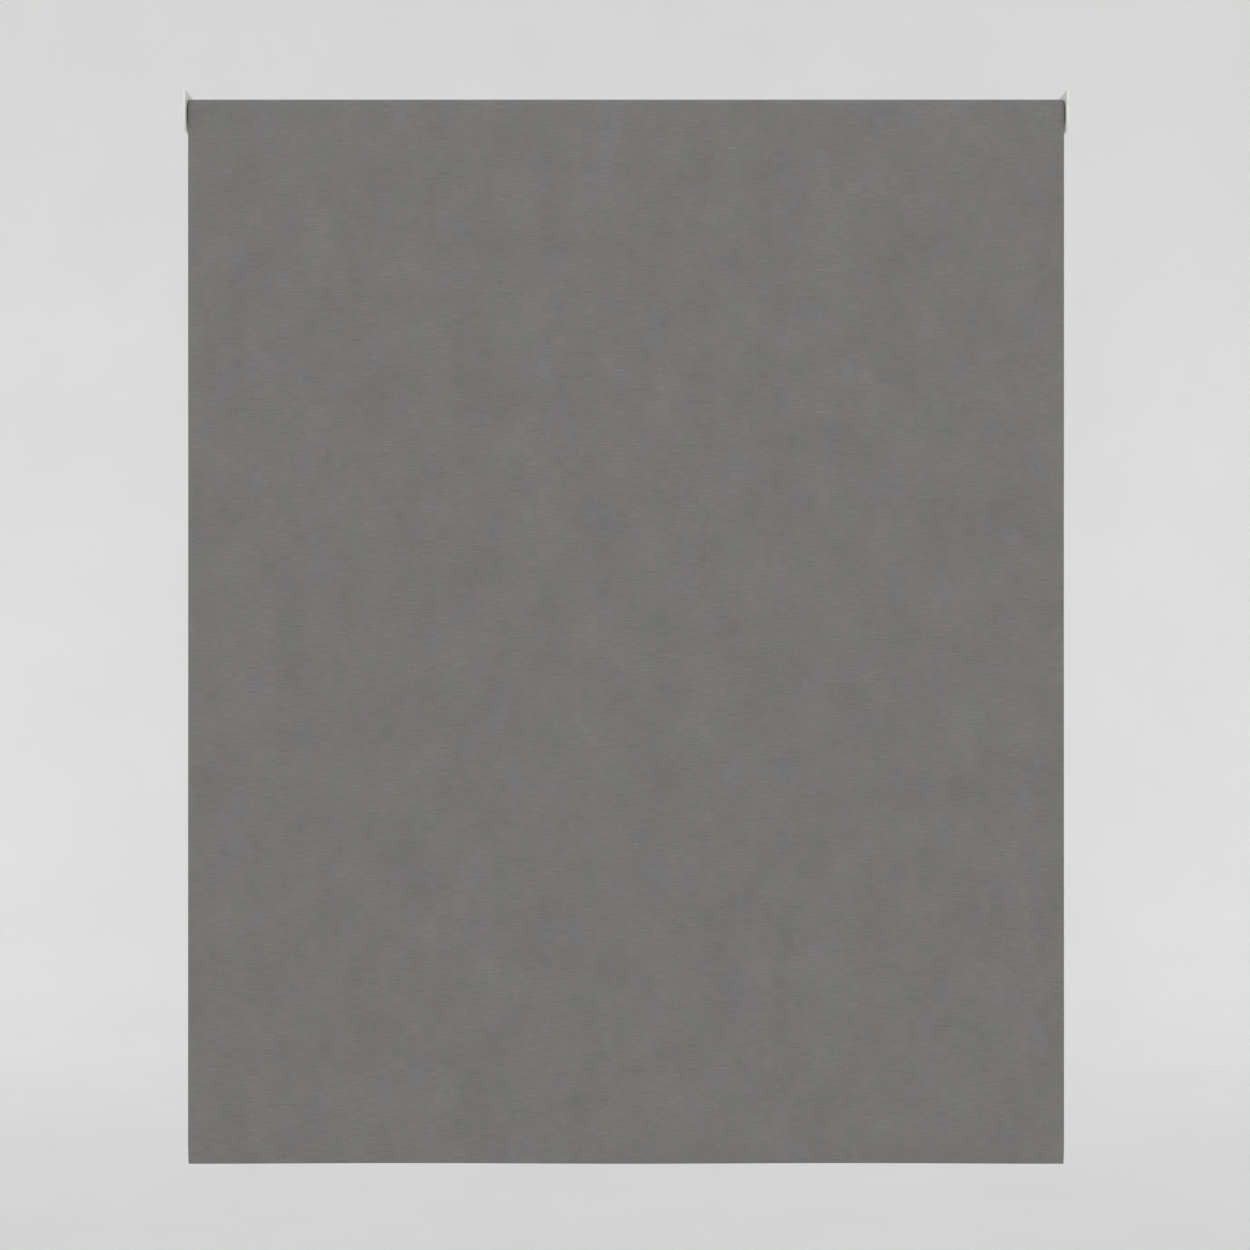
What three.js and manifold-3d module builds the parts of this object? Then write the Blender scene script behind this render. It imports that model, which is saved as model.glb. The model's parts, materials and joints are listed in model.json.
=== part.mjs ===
// Spring-lift roller blind, fully lowered, with the fabric leaving the front of the roller.
//
// Millimetres, +Z up, +X to the right seen from the room, +Y into the wall.
// The origin lies on the wall face that the brackets are screwed to, midway between them and level
// with their top edges. The roller runs along X. Every piece is its own named mesh.
import * as THREE from "three";
import { mergeVertices } from "three/addons/utils/BufferGeometryUtils.js";
import Module from "manifold-3d";

const wasm = await Module();
wasm.setup();

// ---------------------------------------------------------------- driving dimensions
const FABRIC_WIDTH = 1200;
const TOTAL_DROP = 1470; // top of the brackets to the bottom of the hem
const FABRIC_THICKNESS = 0.4;
const WRAP_PITCH = 0.45; // radius gained by each turn of fabric on the roller
const WRAP_CLEARANCE = 0.1; // under the first turn
const WRAP_TURNS = 1.5; // turns still on the roller when the blind is down

const TUBE_OUTER_R = 19;
const TUBE_WALL = 1.3;
const AXIS_DROP = 28; // roller axis below the top of the brackets

const SEAT = 0.3; // gap where one piece rests on or in another
const RUNNING = 0.3; // radial gap of a turning fit
const SIDE_GAP = 2; // fabric edge to the bracket plate

const BRACKET_HEIGHT = 55;
const BRACKET_FRONT = 31; // roller axis to the front edge of the cover
const BRACKET_BACK = 31; // roller axis to the wall face
const BRACKET_CORNER_R = 13; // lower front corner of the cover
const PLATE_THICKNESS = 1.6;
const FLANGE_WIDTH = 26;
const FLANGE_CORNER_R = 4;
const SCREW_HOLE_R = 2.4;
const SCREW_HOLE_INSET = 11; // from the flange's free edge, and from its top and bottom
const COVER_WALL = 1.2;
const COVER_RIM_SETBACK = 0.1; // rim stops this far short of the plate's inner face

const SCREW_SHANK_R = 1.9;
const SCREW_LENGTH = 25; // under the head
const SCREW_HEAD_R = 3.9;
const SCREW_HEAD = 2.2;
const SCREW_POINT = 4;
const SCREW_RECESS_WIDTH = 0.9;
const SCREW_RECESS_REACH = 2.2;
const SCREW_RECESS_DEPTH = 1.2;

const FLANGE_THICKNESS = 1; // end plug flange outside the tube
const PLUG_FIT = 0.3; // plugs in the tube, on the radius
const CHANNEL_R = 1.6; // round channel in the tube that holds the fabric spline
const CHANNEL_MOUTH = 1;
const CHANNEL_LIP = 0.5; // depth of the mouth in the tube's wall
const CHANNEL_WALL = 1;
const SPLINE_R = 1.3;

const PIN_R = 3;
const PIN_TAIL_STEP = 0.6; // tail thinner than the pin, on the radius
const PIN_CHAMFER = 0.6;
const TIP_BEYOND_PLATE = 1.2; // pin and spear past the bracket plate
const PIN_TRAVEL = 6;
const PIN_COLLAR_REACH = 2.8; // past the pin
const PIN_COLLAR_LENGTH = 2;
const PIN_CHAMBER_CLEARANCE = 0.7; // round the collar
const PIN_SPRING_SPARE = 5; // left between the coils with the pin pushed in
const PIN_SPRING_WIRE_R = 0.5;
const PIN_SPRING_TURNS = 7;
const PLUG_FRONT_WALL = 3;
const PIN_CAP_REACH = 2.5; // head past the chamber
const PIN_CAP_HEAD = 2;
const PIN_CAP_SPIGOT = 4;
const PIN_TAIL_BEYOND_CAP = 2;
const BUSH_WALL = 1.3;
const BUSH_FLANGE = 0.8;
const BUSH_FLANGE_REACH = 2.4;

const SHAFT_R = 4;
const SHAFT_LENGTH = 362;
const ROLL_PIN_R = 1.2;
const SPEAR_THICKNESS = 2.8;
const SPEAR_HEIGHT = 8.6;
const SPEAR_HUB_WALL = 2.2;
const SPEAR_HUB_DEPTH = 22; // hub inside the fabric edge
const SPEAR_SOCKET_DEPTH = 17;
const BEARING_WALL = 1.8;
const SPRING_PLUG_LENGTH = 24;
const PLUG_LIP = 0.5; // lip that keeps the bearing in its plug, on the radius

const BRAKE_GAP = 3; // between the spring end plug and the brake
const BRAKE_LENGTH = 18;
const BRAKE_DRUM_WALL = 5.3;
const BRAKE_WIRE_R = 0.8;
const BRAKE_TURNS = 6;
const BRAKE_SPRING_ROOM = 1.1; // between the wrap spring and its housing
const BRAKE_END_WALL = 2;

const LIFT_TURNS = 10; // roller turns from fully down to fully up
const LIMIT_PITCH = 2.5;
const LIMIT_SCREW_WALL = 2.7;
const LIMIT_THREAD_DEPTH = 0.7;
const LIMIT_NUT_LENGTH = 8;
const LIMIT_NUT_CLEARANCE = 1.1; // in the tube
const STOP_COLLAR_REACH = 3; // past the screw
const STOP_COLLAR_LENGTH = 5;
const LIMIT_GAP = 5; // between the brake and the first stop collar

const ANCHOR_GAP = 6; // between the limit stop and the spring anchor
const ANCHOR_FLANGE_REACH = 3; // past the spool
const ANCHOR_FLANGE = 4;
const SPOOL_WALL = 4.7;
const SPOOL_LENGTH = 16;
const LIFT_SPRING_WIRE_R = 0.8;
const LIFT_SPRING_TURNS = 30;
const DRIVE_PLUG_LENGTH = 18;
const DRIVE_BUSH_WALL = 1.5;
const RETAINING_RING_REACH = 3.4; // past the shaft
const RETAINING_RING = 1.2;
const RING_GROOVE_DEPTH = 0.8;
const RING_OPENING = 5;
const SHAFT_TAIL = 3; // shaft beyond the retaining ring

const HEM_BAR_DEPTH = 8; // at its top
const HEM_BAR_SWEEP_R = 110; // front face, which curves back towards the bottom
const HEM_BAR_EDGE_R = 1.8; // bottom and top edges
const HEM_BAR_WALL = 1;
const HEM_BAR_INSET = 3; // bar ends inside the fabric edges
const HEM_CAP_HEAD = 1.5;
const HEM_CAP_SPIGOT = 12;
const HEM_TAPER = 6; // height over which the pocket closes on the front layer
const HEM_WELD = 6.6; // height of the welded band above the pocket

const ROUND = 32; // sides of the larger round pieces
const SMALL_ROUND = 20; // sides of pins, bushes and shafts
const WRAP_STEPS = 48; // sides of one turn of fabric

// ---------------------------------------------------------------- derived sizes
const TUBE_INNER_R = TUBE_OUTER_R - TUBE_WALL;
const TUBE_LENGTH = FABRIC_WIDTH - 2 * (FLANGE_THICKNESS + SEAT);
const CHANNEL_CENTRE_R = TUBE_OUTER_R - CHANNEL_LIP - CHANNEL_R;
const PLUG_R = TUBE_INNER_R - PLUG_FIT;
const PLUG_FLANGE_R = TUBE_OUTER_R;
const FIRST_WRAP_R = TUBE_OUTER_R + WRAP_CLEARANCE + FABRIC_THICKNESS / 2;
const LEAVING_R = FIRST_WRAP_R + WRAP_PITCH * WRAP_TURNS; // middle of the layer that hangs down
const FRONT_Y = -(LEAVING_R + FABRIC_THICKNESS / 2); // room face of the hanging fabric
const PLATE_INNER = SIDE_GAP; // bracket stations, measured outwards from the fabric edge
const PLATE_OUTER = PLATE_INNER + PLATE_THICKNESS;
const COVER_INNER = PLATE_OUTER + SEAT;
const COVER_OUTER = COVER_INNER + COVER_WALL;

// The hem bar's section: a flat back, and a front that sweeps back until it meets the bottom edge's
// round. The two arcs share a tangent there.
const HEM_BAR_FRONT = FRONT_Y + FABRIC_THICKNESS + SEAT;
const HEM_BAR_BACK = HEM_BAR_FRONT + HEM_BAR_DEPTH;
const HEM_BAR_BOTTOM = -TOTAL_DROP + FABRIC_THICKNESS + SEAT;
const SWEEP_REACH = HEM_BAR_SWEEP_R - HEM_BAR_EDGE_R; // between the centres of the two arcs
const SWEEP_ANGLE = Math.acos((HEM_BAR_SWEEP_R - HEM_BAR_DEPTH + HEM_BAR_EDGE_R) / SWEEP_REACH);
const SWEEP_TOP = HEM_BAR_BOTTOM + HEM_BAR_EDGE_R + SWEEP_REACH * Math.sin(SWEEP_ANGLE);
const HEM_BAR_TOP = SWEEP_TOP + HEM_BAR_EDGE_R;
const HEM_TAPER_BOTTOM = HEM_BAR_TOP + SEAT;
const HEM_TAPER_TOP = HEM_TAPER_BOTTOM + HEM_TAPER;
const HEM_TOP = HEM_TAPER_TOP + HEM_WELD;


// Stations along the roller's axis are measured outwards from the fabric edge at their own end, so
// those inside the tube are negative. First the idle end, at the left.
const PIN_TAIL_R = PIN_R - PIN_TAIL_STEP;
const PIN_COLLAR_R = PIN_R + PIN_COLLAR_REACH;
const PIN_CHAMBER_R = PIN_COLLAR_R + PIN_CHAMBER_CLEARANCE;
const BUSH_OUTER_R = PIN_R + RUNNING + BUSH_WALL;
const PIN_TIP = PLATE_OUTER + TIP_BEYOND_PLATE;
const PIN_SPRING_SOLID = 2 * PIN_SPRING_WIRE_R * PIN_SPRING_TURNS;
const PIN_SPRING_LENGTH = PIN_SPRING_SOLID + PIN_SPRING_SPARE + PIN_TRAVEL;
const PIN_COLLAR_FRONT = -PLUG_FRONT_WALL - SEAT;
const PIN_COLLAR_BACK = PIN_COLLAR_FRONT - PIN_COLLAR_LENGTH;
const PIN_SPRING_BACK = PIN_COLLAR_BACK - SEAT - PIN_SPRING_LENGTH;
const PIN_PLUG_LENGTH = -PIN_SPRING_BACK + SEAT + PIN_CAP_SPIGOT;
const PIN_CAP_BACK = -PIN_PLUG_LENGTH - SEAT - PIN_CAP_HEAD;
const PIN_BACK = PIN_CAP_BACK - PIN_TAIL_BEYOND_CAP;

// Then the lift mechanism, at the right.
const SHAFT_BORE_R = SHAFT_R + SEAT;
const SPEAR_HUB_R = SHAFT_BORE_R + SPEAR_HUB_WALL;
const BRAKE_DRUM_R = SHAFT_BORE_R + BRAKE_DRUM_WALL;
const BRAKE_HOUSING_WALL_R = BRAKE_DRUM_R + SEAT + 2 * BRAKE_WIRE_R + BRAKE_SPRING_ROOM;
const LIMIT_SCREW_R = SHAFT_BORE_R + LIMIT_SCREW_WALL;
const STOP_COLLAR_R = LIMIT_SCREW_R + STOP_COLLAR_REACH;
const LIMIT_NUT_OUTER_R = TUBE_INNER_R - LIMIT_NUT_CLEARANCE;
const SPOOL_R = SHAFT_BORE_R + SPOOL_WALL;
const ANCHOR_FLANGE_R = SPOOL_R + ANCHOR_FLANGE_REACH;
const SOCKET_END = -SPEAR_HUB_DEPTH + SPEAR_SOCKET_DEPTH;
const SHAFT_FRONT = SOCKET_END - SEAT;
const SHAFT_BACK = SHAFT_FRONT - SHAFT_LENGTH;
const BEARING_OUTER_R = SPEAR_HUB_R + RUNNING + BEARING_WALL;
const BRAKE_FRONT = -SPRING_PLUG_LENGTH - BRAKE_GAP;
const BRAKE_BACK = BRAKE_FRONT - BRAKE_LENGTH;
const LIMIT_START = BRAKE_BACK - LIMIT_GAP;
const NUT_START = LIMIT_START - STOP_COLLAR_LENGTH - SEAT;
const LIMIT_TRAVEL = LIFT_TURNS * LIMIT_PITCH;
const END_COLLAR_FRONT = NUT_START - LIMIT_NUT_LENGTH - LIMIT_TRAVEL - SEAT;
const LIMIT_END = END_COLLAR_FRONT - STOP_COLLAR_LENGTH;
const ANCHOR_FRONT = LIMIT_END - ANCHOR_GAP;
const ANCHOR_SEAT = ANCHOR_FRONT - ANCHOR_FLANGE; // where the lift spring starts
const RING_BACK = SHAFT_BACK + SHAFT_TAIL;
const DRIVE_BACK = RING_BACK + RETAINING_RING + SEAT;
const DRIVE_SEAT = DRIVE_BACK + DRIVE_PLUG_LENGTH; // where the lift spring ends
const DRIVE_BUSH_OUTER_R = SHAFT_R + RUNNING + DRIVE_BUSH_WALL;

// ---------------------------------------------------------------- materials
const finish = (color, roughness, metalness = 0) =>
  new THREE.MeshStandardMaterial({ color, roughness, metalness });
const MATERIALS = {
  fabric: finish(0x767573, 0.95),
  whiteSteel: finish(0xe9e9e7, 0.45),
  whitePlastic: finish(0xefefed, 0.4),
  aluminium: finish(0xc3c5c7, 0.35, 1),
  steel: finish(0x9a9c9e, 0.3, 1),
  springSteel: finish(0x6f7276, 0.35, 1),
  nylon: finish(0xd9d7cf, 0.5),
  blackNylon: finish(0x1d1e20, 0.5),
  vinyl: finish(0xcfd2d2, 0.55),
};

// ---------------------------------------------------------------- solid helpers
// A closed geometry as a manifold-3d solid.
function toSolid(geometry) {
  const bare = geometry.index ? geometry.toNonIndexed() : geometry.clone();
  bare.deleteAttribute("normal");
  bare.deleteAttribute("uv");
  const merged = mergeVertices(bare, 1e-4);
  return new wasm.Manifold(
    new wasm.Mesh({
      numProp: 3,
      vertProperties: merged.attributes.position.array,
      triVerts: new Uint32Array(merged.index.array),
    }),
  );
}

// A manifold-3d solid back as a geometry with flat faces.
function toGeometry(solid) {
  const { vertProperties, triVerts } = solid.getMesh();
  const indexed = new THREE.BufferGeometry();
  indexed.setAttribute("position", new THREE.BufferAttribute(vertProperties, 3));
  indexed.setIndex(new THREE.BufferAttribute(triVerts, 1));
  const flat = indexed.toNonIndexed();
  flat.computeVertexNormals();
  return flat;
}

const cut = (geometry, ...tools) =>
  toGeometry(tools.reduce((solid, tool) => solid.subtract(toSolid(tool)), toSolid(geometry)));
const join = (geometry, ...others) =>
  toGeometry(others.reduce((solid, other) => solid.add(toSolid(other)), toSolid(geometry)));
const common = (geometry, ...others) =>
  toGeometry(others.reduce((solid, other) => solid.intersect(toSolid(other)), toSolid(geometry)));

// A body of revolution. profile lists [radius, height] pairs, and is closed through its own first
// point, or through the axis where it starts and ends there.
function turned(profile, sides = ROUND) {
  const points = profile.map(([radius, height]) => new THREE.Vector2(radius, height));
  if (THREE.ShapeUtils.area(points) < 0) points.reverse();
  if (points[0].x > 0 || points.at(-1).x > 0) points.push(points[0].clone());
  return new THREE.LatheGeometry(points, sides);
}

// A plain ring or sleeve between two heights.
const sleeve = (inner, outer, low, high, sides) =>
  turned([[inner, low], [outer, low], [outer, high], [inner, high]], sides);

// A plain round bar between two heights.
const bar = (radius, low, high, sides) =>
  turned([[0, low], [radius, low], [radius, high], [0, high]], sides);

const blockOf = (low, high) =>
  new THREE.BoxGeometry(high[0] - low[0], high[1] - low[1], high[2] - low[2]).translate(
    (low[0] + high[0]) / 2, (low[1] + high[1]) / 2, (low[2] + high[2]) / 2,
  );

// Turns an extrusion of a (Y, Z) outline so that it runs along X from x0 to x1.
const ALONG_X = new THREE.Matrix4().makeBasis(
  new THREE.Vector3(0, 1, 0), new THREE.Vector3(0, 0, 1), new THREE.Vector3(1, 0, 0),
);
function extrudedAlongX(outline, xa, xb, curveSegments = 8) {
  const x0 = Math.min(xa, xb);
  const depth = Math.abs(xb - xa);
  return new THREE.ExtrudeGeometry(outline, { depth, bevelEnabled: false, curveSegments })
    .applyMatrix4(ALONG_X)
    .translate(x0, 0, 0);
}

// Turns an extrusion of an (X, Z) outline so that it runs along Y from y0 to y1.
const ALONG_Y = new THREE.Matrix4().makeBasis(
  new THREE.Vector3(1, 0, 0), new THREE.Vector3(0, 0, 1), new THREE.Vector3(0, -1, 0),
);
function extrudedAlongY(outline, y0, y1, curveSegments = 8) {
  return new THREE.ExtrudeGeometry(outline, { depth: y1 - y0, bevelEnabled: false, curveSegments })
    .applyMatrix4(ALONG_Y)
    .translate(0, y1, 0);
}

// A rectangle with its own radius at each corner: [left low, right low, right high, left high].
function roundedRectangle(left, right, low, high, [ll, rl, rh, lh]) {
  const outline = new THREE.Shape();
  outline.moveTo(left + ll, low);
  outline.lineTo(right - rl, low);
  if (rl) outline.absarc(right - rl, low + rl, rl, -Math.PI / 2, 0, false);
  outline.lineTo(right, high - rh);
  if (rh) outline.absarc(right - rh, high - rh, rh, 0, Math.PI / 2, false);
  outline.lineTo(left + lh, high);
  if (lh) outline.absarc(left + lh, high - lh, lh, Math.PI / 2, Math.PI, false);
  outline.lineTo(left, low + ll);
  if (ll) outline.absarc(left + ll, low + ll, ll, Math.PI, 1.5 * Math.PI, false);
  return outline;
}

function disc(x, y, radius) {
  const outline = new THREE.Shape();
  outline.absarc(x, y, radius, 0, 2 * Math.PI, false);
  return outline;
}

// A helix round the local Y axis.
class Helix extends THREE.Curve {
  constructor(radius, low, high, turns) {
    super();
    Object.assign(this, { radius, low, high, turns });
  }
  getPoint(t, target = new THREE.Vector3()) {
    const angle = 2 * Math.PI * this.turns * t;
    return target.set(
      this.radius * Math.cos(angle),
      this.low + (this.high - this.low) * t,
      this.radius * Math.sin(angle),
    );
  }
}

// A coil spring whose wire has the given number of sides.
function coil(radius, wireR, low, high, turns, wireSides, stepsPerTurn) {
  const section = new THREE.Shape();
  for (let i = 0; i < wireSides; i++) {
    const angle = (2 * Math.PI * (i + 0.5)) / wireSides;
    const point = [wireR * Math.cos(angle), wireR * Math.sin(angle)];
    if (i) section.lineTo(...point);
    else section.moveTo(...point);
  }
  section.closePath();
  return new THREE.ExtrudeGeometry(section, {
    steps: Math.round(turns * stepsPerTurn),
    extrudePath: new Helix(radius, low + wireR, high - wireR, turns),
    bevelEnabled: false,
  });
}

function piece(group, name, geometry, material) {
  const mesh = new THREE.Mesh(geometry, material.clone());
  mesh.name = name;
  group.add(mesh);
  return mesh;
}

// ---------------------------------------------------------------- groups
// The children's +Y is measured from the roller's axis, and the group puts the wall face on y = 0.
const blind = new THREE.Group();
blind.name = "roller_blind";
blind.position.y = -BRACKET_BACK;

// A group whose local +Y runs outwards along the roller axis from one edge of the fabric.
function endGroup(side) {
  const group = new THREE.Group();
  group.position.set((side * FABRIC_WIDTH) / 2, 0, -AXIS_DROP);
  group.rotation.z = (-side * Math.PI) / 2;
  blind.add(group);
  return group;
}
const leftEnd = endGroup(-1);
const rightEnd = endGroup(1);

// The tube's fabric channel stands in from its wall at the back, and every plug in the tube has a
// groove for it, which also drives the plug.
function channelGroove(side, low, high) {
  const groove = bar(CHANNEL_R + CHANNEL_WALL + PLUG_FIT, low, high, SMALL_ROUND);
  return groove.translate(-side * CHANNEL_CENTRE_R, 0, 0);
}

// ---------------------------------------------------------------- brackets
// Stations outwards from the fabric edge as world X.
const station = (side, outwards) => side * (FABRIC_WIDTH / 2 + outwards);

function sideOutline(inset, back) {
  const corner = BRACKET_CORNER_R - inset;
  return roundedRectangle(
    -BRACKET_FRONT + inset, back, -BRACKET_HEIGHT + inset, -inset, [corner, 1, 1, 1],
  );
}

// Folded steel bracket: a side plate that carries the roller, and a wall flange behind the roller.
function bracket(side, bearingHole) {
  const inset = COVER_WALL + SEAT;
  const inner = station(side, PLATE_INNER);
  const outer = station(side, PLATE_OUTER);
  const freeEdge = outer - side * FLANGE_WIDTH;
  const plate = extrudedAlongX(sideOutline(inset, BRACKET_BACK), inner, outer);
  const flangeOutline = roundedRectangle(
    Math.min(outer, freeEdge), Math.max(outer, freeEdge), -BRACKET_HEIGHT + inset, -inset,
    side > 0 ? [FLANGE_CORNER_R, 0, 0, FLANGE_CORNER_R] : [0, FLANGE_CORNER_R, FLANGE_CORNER_R, 0],
  );
  const holeX = freeEdge + side * SCREW_HOLE_INSET;
  for (const z of [-SCREW_HOLE_INSET, -BRACKET_HEIGHT + SCREW_HOLE_INSET]) {
    flangeOutline.holes.push(disc(holeX, z, SCREW_HOLE_R));
  }
  const flange = extrudedAlongY(flangeOutline, BRACKET_BACK - PLATE_THICKNESS, BRACKET_BACK);
  const through = extrudedAlongX(bearingHole, inner - side, outer + side, SMALL_ROUND / 2);
  return cut(join(plate, flange), through);
}

// Clip-on cover: an outer skin with a rim round the top, front and bottom of the bracket plate.
function cover(side, windowHole) {
  const rim = station(side, PLATE_INNER + COVER_RIM_SETBACK);
  const skin = station(side, COVER_INNER);
  const outer = station(side, COVER_OUTER);
  const solid = extrudedAlongX(sideOutline(0, BRACKET_BACK), rim, outer);
  const hollowOutline = sideOutline(COVER_WALL, BRACKET_BACK + COVER_WALL * 4);
  const hollow = extrudedAlongX(hollowOutline, rim - side, skin);
  const window = extrudedAlongX(windowHole, skin - side, outer + side, SMALL_ROUND / 2);
  return cut(solid, hollow, window);
}

const spearSlot = (gap) =>
  roundedRectangle(
    -SPEAR_THICKNESS / 2 - gap, SPEAR_THICKNESS / 2 + gap,
    -AXIS_DROP - SPEAR_HEIGHT / 2 - gap, -AXIS_DROP + SPEAR_HEIGHT / 2 + gap, [0.5, 0.5, 0.5, 0.5],
  );

piece(blind, "left_bracket", bracket(-1, disc(0, -AXIS_DROP, BUSH_OUTER_R + SEAT)),
  MATERIALS.whiteSteel);
piece(blind, "right_bracket", bracket(1, spearSlot(SEAT)), MATERIALS.whiteSteel);
piece(blind, "left_bracket_cover", cover(-1, disc(0, -AXIS_DROP, BUSH_OUTER_R)),
  MATERIALS.whitePlastic);
piece(blind, "right_bracket_cover", cover(1, spearSlot(2 * SEAT)), MATERIALS.whitePlastic);

// Nylon bush in the left bracket, in which the idle pin turns.
piece(leftEnd, "left_bracket_bush", turned([
  [PIN_R + RUNNING, PLATE_INNER - SEAT - BUSH_FLANGE],
  [BUSH_OUTER_R + BUSH_FLANGE_REACH, PLATE_INNER - SEAT - BUSH_FLANGE],
  [BUSH_OUTER_R + BUSH_FLANGE_REACH, PLATE_INNER - SEAT],
  [BUSH_OUTER_R, PLATE_INNER - SEAT],
  [BUSH_OUTER_R, PLATE_OUTER],
  [PIN_R + RUNNING, PLATE_OUTER],
], SMALL_ROUND), MATERIALS.nylon);

// ---------------------------------------------------------------- roller tube and fabric
// Extruded aluminium tube with a keyhole channel at the back for the fabric spline.
function rollerTube() {
  const half = TUBE_LENGTH / 2;
  const round = (y, radius, reach = half) =>
    extrudedAlongX(disc(y, -AXIS_DROP, radius), -reach, reach, ROUND / 2);
  const lobe = common(round(CHANNEL_CENTRE_R, CHANNEL_R + CHANNEL_WALL), round(0, TUBE_OUTER_R));
  const wall = cut(round(0, TUBE_OUTER_R), round(0, TUBE_INNER_R, half + 1));
  const mouth = blockOf(
    [-half - 1, CHANNEL_CENTRE_R, -AXIS_DROP - CHANNEL_MOUTH / 2],
    [half + 1, TUBE_OUTER_R + 1, -AXIS_DROP + CHANNEL_MOUTH / 2],
  );
  return cut(join(wall, lobe), round(CHANNEL_CENTRE_R, CHANNEL_R, half + 1), mouth);
}
piece(blind, "roller_tube", rollerTube(), MATERIALS.aluminium);

piece(blind, "fabric_spline",
  extrudedAlongX(disc(CHANNEL_CENTRE_R, -AXIS_DROP, SPLINE_R), -TUBE_LENGTH / 2, TUBE_LENGTH / 2, 6),
  MATERIALS.vinyl);

// The fabric left on the roller: a spiral that starts over the channel and ends at the front, where
// the hanging fabric takes over.
function fabricRoll() {
  const steps = Math.round(WRAP_TURNS * WRAP_STEPS);
  const face = (offset) => (i) => {
    const turns = i / WRAP_STEPS; // back from the point where the fabric leaves the roller
    const radius = LEAVING_R - WRAP_PITCH * turns + offset;
    const angle = Math.PI - 2 * Math.PI * turns;
    return new THREE.Vector2(radius * Math.cos(angle), radius * Math.sin(angle) - AXIS_DROP);
  };
  const indices = Array.from({ length: steps + 1 }, (_, i) => i);
  const outside = indices.map(face(FABRIC_THICKNESS / 2));
  const inside = indices.map(face(-FABRIC_THICKNESS / 2)).reverse();
  const outline = new THREE.Shape([...outside, ...inside]);
  return extrudedAlongX(outline, -FABRIC_WIDTH / 2, FABRIC_WIDTH / 2);
}
piece(blind, "fabric_roll", fabricRoll(), MATERIALS.fabric);

piece(blind, "fabric_drop", blockOf(
  [-FABRIC_WIDTH / 2, FRONT_Y, HEM_TOP + SEAT],
  [FABRIC_WIDTH / 2, FRONT_Y + FABRIC_THICKNESS, -AXIS_DROP - SEAT],
), MATERIALS.fabric);

// ---------------------------------------------------------------- hem
// The front and bottom of the bar's section, grown outwards: down the front and round the bottom.
function addSweep(path, grow) {
  const centreY = HEM_BAR_FRONT + HEM_BAR_SWEEP_R;
  const turn = Math.PI + SWEEP_ANGLE;
  path.absarc(centreY, SWEEP_TOP, HEM_BAR_SWEEP_R + grow, Math.PI, turn, false);
  path.absarc(
    HEM_BAR_BACK - HEM_BAR_EDGE_R, HEM_BAR_BOTTOM + HEM_BAR_EDGE_R, HEM_BAR_EDGE_R + grow,
    turn, 2 * Math.PI, false,
  );
}

// The hem pocket: the fabric turned up behind the bar and welded to the front layer above it.
function fabricHem() {
  const outline = new THREE.Shape();
  const weldBack = FRONT_Y + 2 * FABRIC_THICKNESS;
  outline.moveTo(FRONT_Y, HEM_TOP);
  outline.lineTo(FRONT_Y, SWEEP_TOP);
  addSweep(outline, SEAT + FABRIC_THICKNESS);
  outline.lineTo(HEM_BAR_BACK + SEAT + FABRIC_THICKNESS, HEM_TAPER_BOTTOM);
  outline.lineTo(weldBack, HEM_TAPER_TOP);
  outline.lineTo(weldBack, HEM_TOP);
  outline.closePath();
  const inside = new THREE.Path();
  const insideTop = HEM_TAPER_TOP - 2 * FABRIC_THICKNESS;
  inside.moveTo(FRONT_Y + FABRIC_THICKNESS, insideTop);
  inside.lineTo(FRONT_Y + FABRIC_THICKNESS, SWEEP_TOP);
  addSweep(inside, SEAT);
  inside.lineTo(HEM_BAR_BACK + SEAT, HEM_TAPER_BOTTOM - FABRIC_THICKNESS / 2);
  inside.closePath();
  outline.holes.push(inside);
  return extrudedAlongX(outline, -FABRIC_WIDTH / 2, FABRIC_WIDTH / 2);
}
piece(blind, "fabric_hem", fabricHem(), MATERIALS.fabric);

// The bar's whole section, shrunk all round by inset.
function hemSection(inset) {
  const section = new THREE.Shape();
  const edge = HEM_BAR_EDGE_R - inset;
  section.moveTo(HEM_BAR_FRONT + inset, SWEEP_TOP);
  addSweep(section, -inset);
  section.absarc(HEM_BAR_BACK - HEM_BAR_EDGE_R, SWEEP_TOP, edge, 0, Math.PI / 2, false);
  section.absarc(HEM_BAR_FRONT + HEM_BAR_EDGE_R, SWEEP_TOP, edge, Math.PI / 2, Math.PI, false);
  return section;
}

const HEM_BAR_END = FABRIC_WIDTH / 2 - HEM_BAR_INSET;
const hemBarOutline = hemSection(0);
hemBarOutline.holes.push(hemSection(HEM_BAR_WALL));
piece(blind, "hem_bar", extrudedAlongX(hemBarOutline, -HEM_BAR_END, HEM_BAR_END),
  MATERIALS.aluminium);

for (const [side, word] of [[-1, "left"], [1, "right"]]) {
  const seat = HEM_BAR_END + SEAT;
  const head = extrudedAlongX(hemSection(0), side * seat, side * (seat + HEM_CAP_HEAD));
  const spigot = extrudedAlongX(
    hemSection(HEM_BAR_WALL + SEAT), side * (HEM_BAR_END - HEM_CAP_SPIGOT), side * (seat + 0.5),
  );
  piece(blind, `hem_bar_cap_${word}`, join(head, spigot), MATERIALS.whitePlastic);
}

// ---------------------------------------------------------------- idle end, at the left
// A plug that fits in the tube, with a flange over the tube's end. bore lists its inside from the
// back to the front face.
function endPlug(side, length, bore) {
  const plug = turned([
    ...bore.toReversed(),
    [PLUG_R, -length],
    [PLUG_R, -FLANGE_THICKNESS],
    [PLUG_FLANGE_R, -FLANGE_THICKNESS],
    [PLUG_FLANGE_R, 0],
  ]);
  return cut(plug, channelGroove(side, -length - 1, -FLANGE_THICKNESS));
}

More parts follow.
